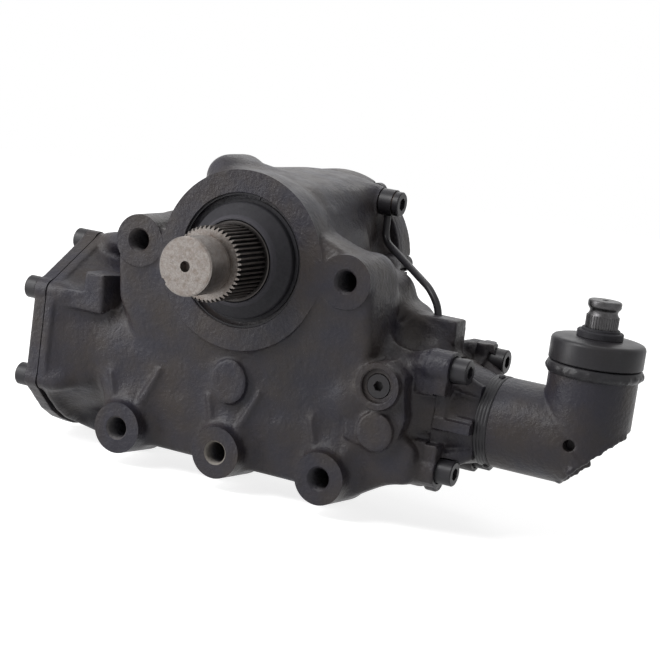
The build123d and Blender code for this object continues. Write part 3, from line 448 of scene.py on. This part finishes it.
def finish_steel(m, lines, rough):
    """Surface that all the steels share: fine lines and slight dents."""
    m.roughen(m.noise(3.0, 5.0, 0.7), *rough)
    m.bump([(m.noise(4.0, 4.0, 0.7), 0.05), (lines, 0.02)])
    m.set(Metallic=1.0)
    return m.material


def machined_steel(name, dark, light, stain, rough, across=(1, 1, 1)):
    """Turned or ground metal: fine lines along one way, and stains."""
    m = Nodes(name)
    lines = m.noise(1.2, 4.0, 0.7, stretch=across)
    blotch = m.spread(m.noise(7.0, 5.0, 0.65), 0.42, 0.7, 0.0, 0.7)
    m.paint(m.mix(blotch, m.ramp(lines, [(0.3, dark), (0.7, light)]), stain))
    return finish_steel(m, lines, rough)


def serrated_steel(name):
    """Output shaft: mottled bright end, bright teeth and painted shade in the grooves, told by radius and
    depth.
    """
    m = Nodes(name)
    tooth = m.spread(m.radius(), 30.2 * MM, 31.2 * MM, 0.0, 1.0)
    y = m.depth()
    front = m.spread(y, -54.5 * MM, -56.2 * MM, 0.0, 1.0)
    outer = m.spread(y, -20.0 * MM, -13.0 * MM, 1.0, 0.1)
    # Painted shade: near black grooves between the teeth, tips darker towards the seal, steel front face.
    bright = maths(m.tree, "MAXIMUM", maths(m.tree, "MULTIPLY", tooth, outer), front)
    lines = m.noise(1.2, 4.0, 0.7, stretch=(1.0, 6.0, 1.0))
    worn = m.ramp(lines, [(0.3, (0.135, 0.122, 0.114)), (0.7, (0.245, 0.226, 0.212))])
    rust = m.spread(m.noise(5.0, 6.0, 0.7), 0.45, 0.68, 0.0, 0.75)
    worn = m.mix(rust, worn, (0.12, 0.095, 0.080))
    pits = m.spread(m.noise(1.6, 5.0, 0.75), 0.60, 0.70, 0.0, 0.6)
    worn = m.mix(pits, worn, (0.07, 0.055, 0.048))
    # Near black here is the painted shade in the grooves.
    m.paint(m.mix(bright, (0.030, 0.028, 0.028), worn))
    return finish_steel(m, lines, (0.30, 0.52))


def rubber_like(name, base, light):
    """Matt rubber or polymer with a faint bloom, paler on the lip round the output shaft."""
    m = Nodes(name)
    bloom = m.ramp(m.noise(6.0, 5.0, 0.7), [(0.35, base), (0.75, light)])
    lip = m.spread(m.radius(), 39.2 * MM, 38.2 * MM, 0.0, 0.7)
    m.paint(m.mix(lip, bloom, tuple(2.2 * c for c in light)))
    m.roughen(m.noise(2.0, 4.0), 0.55, 0.75)
    m.bump([(m.noise(0.7, 3.0), 0.04)])
    m.set(Specular_IOR_Level=0.25)
    return m.material


slot_materials = {
    "black_casting": black_paint(
        "black_casting", (0.0200, 0.0188, 0.0260), (0.0300, 0.0243, 0.0228), (0.33, 0.47), 0.10, 0.75, 1.3,
        bare=((0.0, lower_z, 0.55), (-hole_pitch, lower_z, 0.12))),
    "black_cap": black_paint(
        "black_cap", (0.0165, 0.0160, 0.0190), (0.0195, 0.0180, 0.0195), (0.34, 0.46), 0.03, 0.06, 0.2),
    "black_screws": black_paint(
        "black_screws", (0.0185, 0.0180, 0.0215), (0.0215, 0.0200, 0.0215), (0.34, 0.46), 0.03, 0.05, 0.1),
    "bright_shaft": serrated_steel("bright_shaft"),
    "dark_shaft": machined_steel(
        "dark_shaft", (0.045, 0.044, 0.046), (0.10, 0.098, 0.10), (0.035, 0.033, 0.033), (0.3, 0.5),
        (1, 1, 5)),
    "inner_steel": machined_steel(
        "inner_steel", (0.42, 0.42, 0.43), (0.62, 0.62, 0.63), (0.4, 0.37, 0.32), (0.18, 0.32), (6, 1, 1)),
    "balls": machined_steel(
        "balls", (0.6, 0.6, 0.61), (0.72, 0.72, 0.73), (0.55, 0.54, 0.52), (0.08, 0.16)),
    "copper": machined_steel(
        "copper", (0.030, 0.024, 0.022), (0.050, 0.038, 0.034), (0.02, 0.018, 0.017), (0.4, 0.5)),
    "rubber": rubber_like("rubber", (0.0155, 0.0150, 0.0180), (0.0240, 0.0230, 0.0270)),
    "ring_polymer": rubber_like("ring_polymer", (0.16, 0.11, 0.07), (0.2, 0.14, 0.09)),
}
node_slots = {row["node"]: row["material_slot"] for row in frame["record"]["subparts"]}


def dress(piece, node):
    """Gives a piece its node's finish."""
    piece.data.materials.clear()
    piece.data.materials.append(slot_materials[node_slots[node]])


for node, piece in frame["nodes"].items():
    dress(piece, node)


def finish_piece(piece, node, angle):
    """Gives a piece its node's finish and body, and lets it stand for the node."""
    shade(piece, angle)
    dress(piece, node)
    for body, members in frame["record"]["behaviour"]["bodies"].items():
        if node in members:
            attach(piece, body)
    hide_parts(node)


# Pieces


def threaded_cut(bm, mouth, inward, r, depth, mouth_r, pitch=1.5):
    """Tapped hole with thread ridges, a chamfered mouth and a coned floor."""
    along = mouth_r - r
    corners = [(-clear, 0), (-clear, mouth_r + clear), (0, mouth_r), (along, r)]
    while along + pitch < depth:
        corners += [(along + pitch / 2, r + pitch / 2), (along + pitch, r)]
        along += pitch
    corners += [(depth, r), (depth + 0.5 * r, 0)]
    add_lathe(bm, corners, mouth, inward)


def plain_cut(bm, mouth, inward, r, depth):
    """Plain blind hole with a chamfered mouth and a coned floor."""
    mouth_r = r + 0.6
    corners = [(-clear, 0), (-clear, mouth_r + clear), (0, mouth_r), (mouth_r - r, r),
               (depth, r), (depth + 0.5 * r, 0)]
    add_lathe(bm, corners, mouth, inward, 48)


def housing_body():
    """Large masses of the casting, melted together with wide fillets."""
    bm = rough_copy("housing")
    add_rod(bm, on_axis(left_face - spare), on_axis(valve_face - 20), 60)
    add_rod(bm, on_axis(valve_face - 25), on_axis(valve_face + spare), 47)
    add_rod(bm, (0, -spare, 0), (0, rear_face + spare, 0), tower_r)
    add_hexagon(bm, left_face + 4, left_face + 46, 76.5, 65)
    # Folds down the tower below the oil line's boss, and the shoulder behind the rim
    add_rod(bm, (36, 112, 52), (62, 60, 18), 12, 8)
    add_rod(bm, (10, 84, 62), (44, 40, 38), 12, 8)
    add_rod(bm, (18, 58, 53), (47, 60, 33), 18)
    # Wall behind the plug boss, and roots of the lower mounting bosses
    add_ball(bm, (112, 46, -96), 40)
    for x, z in lower_mounts:
        add_ball(bm, (x, 30, z + 24), 20)
    piece = to_object(bm, "housing_casting")
    soften(piece, 2.4, 40)
    with cutting(piece) as dimples:
        for x in (46, -52):
            add_ball(dimples, (x, 2, -128), 18, (1.3, 0.7, 1.0))
    return piece


def add_mounts(bm):
    """Mounting bosses. The lower ones have a root and two ribs above them, the rightmost only one rib."""
    for x, z in mount_places:
        add_rod(bm, (x, -spare, z), (x, 10, z), boss_r)
        add_rod(bm, (x, 0, z), (x, 50, z), boss_r, 26 if z else boss_r)
    for x, z in lower_mounts:
        add_rod(bm, (x - 11, 16, z + 18), (x - 20, 13.5, z + 46), 6, 3)
        if x < hole_pitch:
            add_rod(bm, (x + 11, 16, z + 18), (x + 30, 13, z + 58), 6.5, 3)
        add_ball(bm, (x + 2, 25, z + 24), 13, (1.4, 1, 0.8))


def add_end_flanges(bm):
    """Hexagon and screw bosses at the left end, and the valve cover's four ears at the right end."""
    add_hexagon(bm, left_face - 3, left_face + 8)
    add_ball(bm, (-165, 27, -140), 13)
    for y, z in end_bolt_places:
        add_rod(bm, on_axis(left_face - 3, y, z), on_axis(left_face + 9, y, z), 9.5)
    for y, z in ear_places:
        add_rod(bm, on_axis(valve_face - 9, y, z), on_axis(valve_face + spare, y, z), ear_r)
    front = piston_y - ear_offset
    for side in (-1, 1):
        inner, outer = sorted((side * (ear_offset - 24), side * (ear_offset + 9)))
        add_block(bm, (valve_face - 17, valve_face + spare), (front - 11, front + 8),
                  (piston_z + inner, piston_z + outer))


def add_pads(bm):
    """Oval pad, plug boss and round pad on their plate, lug, oil line's block, and port and banjo bosses."""
    oval = [(0.6 + 17.5 * u, -105.5 + 19.3 * v) for u, v in circle_points(48, 1)]
    add_prism(bm, oval, 5.5, 20)
    add_rod(bm, (plug_x, plug_boss_face - 3, plug_z), (plug_x, 26, plug_z), 19.5)
    add_rod(bm, (142, 4.4, -118.5), (142, 24, -118.5), 16.3)
    plate = [(112, -84), (124, -64), (146, -58), (160, -70), (162, -90), (165, -104), (160, -126),
             (147, -136), (112, -130)]
    add_prism(bm, plate, 10.5, 40)
    add_block(bm, (-174, -134), (4, 34), (-72, -55.5))
    add_prism(bm, [(-153, -37), (-134, -37.5), (-132, -72), (-154, -72)], 4, 34,
              [(-150, -37), (-123, -37.5), (-121, -62), (-150, -66)])
    add_prism(bm, [(138, -25), (173.5, -25), (174.5, -44), (140, -40)], 72, 95,
              [(138, -25), (174, -25), (175, -62), (138, -62)])
    for x in port_places:
        add_rod(bm, (x, 130, port_z), (x, port_face + spare, port_z), 20)
    add_rod(bm, (30, banjo_y, banjo_z), (banjo_seat + 3, banjo_y, banjo_z), 12.8)


def housing_planes(piece):
    """Machined faces. The cutters reach well past the casting."""
    cuts = (
        [((-260, 260), (-60, 0), (-260, 160))],
        [((-260, left_face), (-40, 200), (-260, 160)), ((valve_face, 260), (-40, 200), (-260, 160))],
        [((-120, 84), (rear_face, 220), (-120, 160)), ((84.5, 170), (port_face, 220), (-120, 20))],
    )
    for blocks in cuts:
        with cutting(piece) as planes:
            for x, y, z in blocks:
                add_block(planes, x, y, z)
    with cutting(piece) as planes:
        add_rod(planes, (banjo_seat, banjo_y, banjo_z), (banjo_seat + 24, banjo_y, banjo_z), 16)
        add_rod(planes, (plug_x, -12, plug_z), (plug_x, plug_boss_face, plug_z), 22)


def housing_bores(piece):
    """Turned and drilled openings."""
    seal_mouth_r = seal_pocket_r + 0.6
    with cutting(piece) as shaft_bore:
        add_lathe(shaft_bore, [(-1, 0), (-1, seal_mouth_r), (0, seal_mouth_r), (0.6, seal_pocket_r),
                               (8, seal_pocket_r), (8, 45), (20, 45), (20, 40), (46, 40), (46, 61), (114, 61),
                               (114, 0)], *output_axis, 192)
    with cutting(piece) as cover_bore:
        add_rod(cover_bore, (0, 113, -10), (0, rear_face + 1, -10), 54.5, sides=128)
    with cutting(piece) as snap_groove:
        add_lathe(snap_groove, [(2, 0), (2, 60), (4, 60), (4, 0)], *output_axis, 192)
    with cutting(piece) as piston_bore:
        add_lathe(piston_bore, [(left_face - 1, 0), (left_face - 1, piston_bore_r), (123.4, piston_bore_r),
                                (123.4, valve_bore_r), (valve_face + 1, valve_bore_r), (valve_face + 1, 0)],
                  *piston_axis, 160)
    with cutting(piece) as holes:
        for x, z in mount_places:
            threaded_cut(holes, (x, 0, z), (0, 1, 0), mount_hole_r, 45, mount_mouth_r)
        for y, z in end_bolt_places:
            plain_cut(holes, on_axis(left_face, y, z), (1, 0, 0), 6, 20)
        for x, z in side_bolt_places:
            plain_cut(holes, (x, rear_face, z), (0, -1, 0), 5, 16)
        for y, z in ear_places:
            plain_cut(holes, on_axis(valve_face, y, z), (-1, 0, 0), 7, 19)
        for x in port_places:
            threaded_cut(holes, (x, port_face, port_z), (0, -1, 0), 12.2, 18, 13.4)
        seat = plug_seat - plug_boss_face
        add_lathe(holes, [(-clear, 0), (-clear, plug_head_r + 1.1), (0, plug_head_r + 1.1),
                          (0.8, plug_head_r), (seat, plug_head_r), (seat, plug_hole_r + 0.8),
                          (seat + 0.8, plug_hole_r), (seat + 14, plug_hole_r), (seat + 18, 0)],
                  (plug_x, plug_boss_face, plug_z), (0, 1, 0))
        add_rod(holes, (banjo_seat + 1, banjo_y, banjo_z), (banjo_seat - 14, banjo_y, banjo_z), 5)
        add_rod(holes, (foot_x, foot_y, -38), (foot_x, foot_y, -20), 3.02)


def make_housing():
    """Housing with cast fillets, machined faces and bores."""
    body = housing_body()
    bm = bmesh.new()
    bm.from_mesh(body.data)
    # Rims of the tower at the front and the rear
    add_rod(bm, (0, -spare, 0), (0, 13, 0), front_rim_r, sides=128)
    add_rod(bm, (0, rear_face - spare, 0), (0, rear_face + spare, 0), rear_rim_r, sides=128)
    add_mounts(bm)
    add_end_flanges(bm)
    add_pads(bm)
    drop(body)
    piece = to_object(bm, "housing_casting")
    # Open scoop in front of the oil line's block: a channel with round ends
    scoop_ends = ((146, 51, -35), (157, 51, -35))
    scoop_r = 20
    with cutting(piece) as channel:
        add_rod(channel, *scoop_ends, scoop_r)
    for end in scoop_ends:
        with cutting(piece) as round_end:
            add_ball(round_end, end, scoop_r)
    soften(piece, 1.3, 6)
    housing_planes(piece)
    housing_bores(piece)
    finish_piece(piece, "housing", 28)


def make_end_cover():
    """Left cover with rounded rim, flat inner face and its spigot."""
    bm = rough_copy("end_cover")
    add_hexagon(bm, end_cover_face, left_face + 3)
    for y, z in end_bolt_places:
        add_rod(bm, on_axis(end_cover_face - 1.5, y, z), on_axis(left_face + 3, y, z), 10)
    piece = to_object(bm, "end_cover_casting")
    soften(piece, 1.2, 8)
    spigot_r = 54
    with cutting(piece) as inner_face:
        add_lathe(inner_face, [(left_face, 130), (left_face, spigot_r), (left_face + 20, spigot_r),
                               (left_face + 20, 130)], *piston_axis)
    # Fine groove along the joint with the housing
    bm = bmesh.new()
    add_block(bm, (left_face - 0.9, left_face + 1), (-40, 200), (-220, 20))
    groove = to_object(bm, "groove")
    with cutting(groove) as core:
        add_hexagon(core, left_face - 3, left_face + 3, hexagon_apothem - 1.5, hexagon_apothem - 1.5)
    carve(piece, groove)
    with cutting(piece) as holes:
        for y, z in end_bolt_places:
            add_rod(holes, on_axis(left_face + 1, y, z), on_axis(end_cover_face - clear, y, z), 6.5)
            add_rod(holes, on_axis(end_cover_face, y, z), on_axis(end_cover_face - clear, y, z), 11.5)
    finish_piece(piece, "end_cover", 30)


def make_valve_cover():
    """Cover over the valve: blocky ears with grooves, ribs with pockets between them, and a waist."""
    bm = rough_copy("valve_cover")
    root = valve_face - 3
    front, back = piston_y - ear_offset, piston_y + ear_offset
    add_rod(bm, on_axis(root), on_axis(ring_start + 3), 36.5)
    for y, z in ear_places:
        add_rod(bm, on_axis(root, y, z), on_axis(valve_cover_face + 1.5, y, z), ear_r)
    add_block(bm, (root, valve_cover_face), (back - 9, back + 9), (piston_z - 40, piston_z + 40))
    add_block(bm, (root, valve_cover_face - 2), (front - 2, front + 9), (piston_z - 40, piston_z + 40))
    for side in (-1, 1):
        inner, outer = sorted((side * (ear_offset - 22), side * (ear_offset + 10)))
        add_block(bm, (root, valve_cover_face + 1), (front - 12, front + 8),
                  (piston_z + inner, piston_z + outer))
    # Rib along the middle of the front with pockets above and below it, and ribs from the ears to the waist
    add_block(bm, (valve_face, ring_start + 1), (piston_y - 47, piston_y), (piston_z - 8, piston_z + 1))
    for side in (-1, 1):
        for row in (-1, 1):
            start = on_axis(valve_cover_face - 3, row * (ear_offset - 6), side * (ear_offset - 6))
            add_rod(bm, start, on_axis(ring_start + 1, row * 25, side * 24), 9, 6)
    piece = to_object(bm, "valve_cover_casting")
    soften(piece, 1.1, 5)
    with cutting(piece) as faces:
        add_block(faces, (valve_face - 30, valve_face), (0, 200), (-200, 0))
        add_block(faces, (ring_start, ring_start + 20), (0, 200), (-200, 0))
    with cutting(piece) as bore:
        add_rod(bore, on_axis(valve_face - 2), on_axis(ring_start + 2), 34, sides=128)
    with cutting(piece) as holes:
        for y, z in ear_places:
            add_rod(holes, on_axis(valve_face - 2, y, z), on_axis(ring_start + 10, y, z), 7.5)
            add_rod(holes, on_axis(valve_cover_face, y, z), on_axis(ring_start + 10, y, z), 11.6)
    finish_piece(piece, "valve_cover", 30)


def make_side_cover():
    """Round rear cover with its ribs melted in."""
    piece = to_object(rough_copy("side_cover"), "side_cover_casting")
    soften(piece, 1.3, 5)
    finish_piece(piece, "side_cover", 30)


def make_drive_housing():
    """Mitred elbow with soft edges, a rough corner, and the dark hole at its front."""
    bm = rough_copy("drive_housing")
    add_rod(bm, on_axis(drive_start - 3), on_axis(drive_start + 20), tube_r)
    add_rod(bm, (drive_x, piston_y, tube_top - 20), (drive_x, piston_y, tube_top + 4), upright_r)
    # Rough edge of the mitred corner: balls round the level tube, and round the upright
    mitre = 23.5
    level_edge_r, upright_edge_r = 36.8, 35.4
    for k in range(44):
        r = 2.6 + 0.8 * sin(2.3 * k) * sin(0.9 * k + 1)
        a = radians(190 + 4.0 * k)
        y, z = level_edge_r * cos(a), level_edge_r * sin(a)
        if z < -23:
            add_ball(bm, (drive_x + mitre + z, piston_y + y, piston_z + z), r)
        a = radians(182 + 4.0 * k)
        x, y = upright_edge_r * cos(a), upright_edge_r * sin(a)
        if x > 1:
            add_ball(bm, (drive_x + x, piston_y + y, piston_z + x - mitre), r)
    piece = to_object(bm, "drive_housing_casting")
    soften(piece, 1.2, 10)
    left, spigot_r = drive_start - 40, 33.95
    with cutting(piece) as faces:
        add_block(faces, (drive_x - 60, drive_x + 60), (0, 160), (tube_top, tube_top + 30))
        add_lathe(faces, [(left, 60), (left, spigot_r), (drive_start, spigot_r), (drive_start, 60)],
                  *piston_axis, 128)
    with cutting(piece) as level_bore:
        add_rod(level_bore, on_axis(left), on_axis(drive_x - 11), drive_bore_r)
    hole_z = piston_z + 1
    with cutting(piece) as bores:
        add_rod(bores, (drive_x, piston_y, piston_z + 11), (drive_x, piston_y, tube_top + 2), drive_bore_r)
        add_rod(bores, (drive_x, piston_y - tube_r - 3, hole_z), (drive_x, piston_y - 27, hole_z), 4.9)
    finish_piece(piece, "drive_housing", 32)


def make_dust_seal():
    """Coned seal with its raised lip, clear of the snap ring's groove."""
    corners = [(7.9, 52.4), (7.9, 36.1), (0, 34.1), (-9, 34.1), (-11, 35.1), (-11, 36.5), (-9.9, 37.5),
               (-8.4, 38.1), (-7.2, 38.9), (0.4, 48.2), (1.4, 49.0), (2.4, 49.3), (6.4, 49.6), (6.6, 52.4)]
    bm = bmesh.new()
    add_lathe(bm, corners, *output_axis, 160)
    finish_piece(to_object(bm, "dust_seal_coned"), "dust_seal", 30)


def make_lock_bead():
    """Uneven bead below the input cap."""
    bm = rough_copy("lock_bead")
    bead_r = 37.5
    for k, (x, y) in enumerate(circle_points(120, bead_r)):
        r = 3.1 + 0.35 * sin(5.1 * k) + 0.25 * sin(0.37 * k)
        z = -42.4 + 0.5 * sin(2.9 * k) + 0.5 * sin(0.5 * k)
        add_ball(bm, (drive_x + x, piston_y + y, z), r)
    piece = to_object(bm, "lock_bead_cast")
    soften(piece, 0.9, 2)
    with cutting(piece) as below:
        add_rod(below, (drive_x, piston_y, tube_top - 12), (drive_x, piston_y, tube_top + 20),
                drive_bore_r + 0.1)
        add_block(below, (drive_x - 60, drive_x + 60), (0, 160), (tube_top - 20, tube_top))
    with cutting(piece) as above:
        add_block(above, (drive_x - 60, drive_x + 60), (0, 160), (cap_bottom, -20))
    finish_piece(piece, "lock_bead", 40)


def make_input_cap():
    """Cap painted over in one with its joint to the collar."""
    corners = [(-50, 15.6), (-50, 27.45), (tube_top, 27.45), (tube_top, 33.9), (cap_bottom, 33.9),
               (cap_bottom, 38.4), (-35.8, 39.1), (-20.5, 39.1), (-18.6, 38.5), (-17.3, 37.2), (-16.7, 35.2),
               (-15.4, 21), (-15.2, 18), (-15.2, 15.6)]
    bm = bmesh.new()
    add_lathe(bm, corners, *input_axis, 128)
    finish_piece(to_object(bm, "input_cap_turned"), "input_cap", 30)


def make_input_collar():
    """Stepped collar round the input shaft."""
    corners = [(-22, 13.7), (-22, 15.5), (-15, 15.5), (-15, 19.2), (-10.4, 19.2), (-9.6, 18.5), (-9.4, 15.9),
               (-7.8, 15.7), (-7.3, 15.1), (-7.3, 13.7)]
    bm = bmesh.new()
    add_lathe(bm, corners, *input_axis, 96)
    finish_piece(to_object(bm, "input_collar_stepped"), "input_dust_seal", 30)


def make_input_shaft():
    """Input shaft with paint in its serrations and a smooth waist."""
    piece = to_object(rough_copy("input_shaft"), "input_shaft_waisted")
    corners = [(-7, 0), (-7, 13.15), (2.2, 13.2), (3.4, 12.9), (4.6, 12.2), (5.6, 11.7), (7.2, 11.7),
               (8.3, 12.2), (9.2, 13.0), (10.2, 13.7), (11, 13.9), (14.2, 13.9), (15.1, 13.5), (15.65, 12.6),
               (15.65, 3.4), (11, 3.2), (10.5, 0)]
    with cutting(piece, "UNION") as filling:
        add_lathe(filling, corners, *input_axis, 96)
    finish_piece(piece, "input_shaft", 28)


def make_oil_line():
    """Rigid steel line, bent down from the banjo eye to the block beside the valve."""
    route = [(64, banjo_y, 47), (64, banjo_y, 42), (64.5, banjo_y, 22), (83, 134.5, 15), (122.5, 104.5, 0),
             (138, 93, -6), (foot_x, foot_y, -22), (foot_x, foot_y, -37)]
    curve = bpy.data.curves.new("oil_route", "CURVE")
    curve.dimensions = "3D"
    curve.bevel_depth = line_r * MM
    curve.bevel_resolution = 7
    curve.use_fill_caps = True
    spline = curve.splines.new("NURBS")
    spline.points.add(len(route) - 1)
    for point, place in zip(spline.points, route):
        point.co = (*(Vector(place) * MM), 1)
    spline.order_u = 3
    spline.use_endpoint_u = True
    spline.resolution_u = 12
    holder = in_scene("oil_route", curve)
    mesh = final_mesh(holder)
    bpy.data.objects.remove(holder)
    bpy.data.curves.remove(curve)
    finish_piece(in_scene("oil_tube_bent", mesh), "oil_tube", 40)


def make_adjuster_ring():
    """Ring with thread-like ridges and a few lugs round it."""
    root_r, crest_r = 38.6, 39.0
    corners = [(ring_start, 34)]
    x = ring_start
    while x < drive_start - 1.5:
        corners += [(x, root_r), (x + 0.8, crest_r), (x + 1.8, crest_r), (x + 2.6, root_r)]
        x += 2.85
    corners += [(drive_start - 0.8, 37.2), (drive_start, 37.2), (drive_start, 34)]
    bm = bmesh.new()
    add_lathe(bm, corners, *piston_axis, 128)
    piece = to_object(bm, "adjuster_ring_ridged")
    with cutting(piece, "UNION") as lugs:
        for x, turn in ((217.5, -8), (219, 6), (221, -20), (216.5, 96), (220.5, 188)):
            a = radians(turn) - pi / 2
            add_ball(lugs, on_axis(x, root_r * cos(a), root_r * sin(a)), 3.0, (1.0, 1.2, 0.8))
    finish_piece(piece, "adjuster_ring", 30)


def make_sector_shaft():
    """Output shaft with bevelled serration ends and fine grooves round the stub."""
    piece = to_object(rough_copy("sector_shaft"), "sector_shaft_turned")
    with cutting(piece) as bevel:
        add_lathe(bevel, [(spline_start - 2, 28.6), (spline_start - 2, 36), (spline_start + 2.6, 36),
                          (spline_start + 2.6, 31.8), (spline_start, 29.6)], *output_axis, 128)
    with cutting(piece) as grooves:
        for y, width, r in ((-60.5, 1.0, 23.7), (-63.2, 0.5, 24.0), (stub_end + 3.5, 0.4, 24.05)):
            add_lathe(grooves, [(y, 26), (y + 0.2, r), (y + width, r), (y + width + 0.2, 26)],
                      *output_axis, 128)
    finish_piece(piece, "sector_shaft", 24)


make_housing()
make_end_cover()
make_valve_cover()
make_side_cover()
make_drive_housing()
make_dust_seal()
make_lock_bead()
make_input_cap()
make_input_collar()
make_input_shaft()
make_oil_line()
make_adjuster_ring()
make_sector_shaft()


# Camera, light and floor, in metres

middle = Vector((0.05, 0.05, -0.05))


def make_camera():
    """Camera at the photograph's viewing angle."""
    camera_data = bpy.data.cameras.new("camera")
    camera = in_scene("camera", camera_data)
    bpy.context.scene.camera = camera
    camera_data.sensor_fit = "HORIZONTAL"
    camera_data.sensor_width = 36.0
    camera_data.lens = 102.15
    camera_data.clip_start = 0.05
    camera_data.clip_end = 50.0
    right = Vector((0.88900, 0.43770, 0.13540))
    down = Vector((0.19200, -0.08740, -0.97750))
    ahead = right.cross(down).normalized()
    down = ahead.cross(right).normalized()
    right.normalize()
    turn = Matrix((right, -down, -ahead)).transposed().to_4x4()
    camera.matrix_world = Matrix.Translation((0.7345, -1.3822, 0.2080)) @ turn


def area_light(name, place, size, power):
    """Soft rectangular lamp aimed at the middle of the part."""
    data = bpy.data.lights.new(name, "AREA")
    data.shape = "RECTANGLE"
    data.size, data.size_y = size
    data.energy = power
    lamp = in_scene(name, data)
    lamp.location = place
    lamp.rotation_euler = (middle - Vector(place)).to_track_quat("-Z", "Y").to_euler()


def background_rays(tree):
    """1 for rays that show the background: from the camera, from gloss and through glass."""
    path = tree.nodes.new("ShaderNodeLightPath")
    seen = path.outputs["Is Camera Ray"]
    for kind in ("Is Glossy Ray", "Is Transmission Ray"):
        seen = maths(tree, "MAXIMUM", seen, path.outputs[kind])
    return seen


def make_world():
    """World that looks white but lights the part dimly."""
    world = bpy.data.worlds.new("studio")
    bpy.context.scene.world = world
    world.use_nodes = True
    tree = world.node_tree
    back = tree.nodes["Background"]
    level = tree.nodes.new("ShaderNodeMapRange")
    level.inputs["To Min"].default_value = 0.20
    level.inputs["To Max"].default_value = 1.0
    tree.links.new(background_rays(tree), level.inputs["Value"])
    tree.links.new(level.outputs["Result"], back.inputs["Strength"])
    back.inputs["Color"].default_value = (1, 1, 1, 1)


def make_floor():
    """Pale floor that brightens towards its rim, where it meets the white of the world."""
    bm = bmesh.new()
    place = Matrix.Translation((middle.x, middle.y, floor_z * MM))
    bmesh.ops.create_circle(bm, cap_ends=True, segments=96, radius=3.0, matrix=place)
    floor = to_object(bm, "floor")
    m = Nodes("floor")
    m.set(Roughness=0.9, Specular_IOR_Level=0.0)
    m.paint(m.ramp(m.noise(120, 3.0), [(0.3, (0.55, 0.55, 0.55)), (0.7, (0.57, 0.57, 0.57))]))
    brightness = m.spread(m.length(m.where), 0.5, 1.8, 0.80, 0.98)
    glow = m.tree.nodes.new("ShaderNodeEmission")
    glow.inputs["Color"].default_value = (1, 1, 1, 1)
    m.link(maths(m.tree, "MULTIPLY", brightness, background_rays(m.tree)), glow.inputs["Strength"])
    both = m.tree.nodes.new("ShaderNodeAddShader")
    m.link(m.shader.outputs["BSDF"], both.inputs[0])
    m.link(glow.outputs["Emission"], both.inputs[1])
    m.link(both.outputs["Shader"], m.tree.nodes["Material Output"].inputs["Surface"])
    floor.data.materials.append(m.material)


make_camera()
bpy.context.scene.view_settings.view_transform = "Standard"
area_light("key", (-0.85, -1.1, 1.4), (1.0, 0.8), 30.0)
area_light("top", (0.1, 0.35, 1.7), (1.4, 1.0), 5.0)
area_light("side", (1.9, -0.6, 0.6), (0.8, 1.2), 2.0)
area_light("back", (-0.45, 1.5, 1.25), (1.2, 1.0), 4.5)
area_light("left", (-1.35, -1.05, 0.36), (0.6, 1.3), 20.0)
make_world()
make_floor()
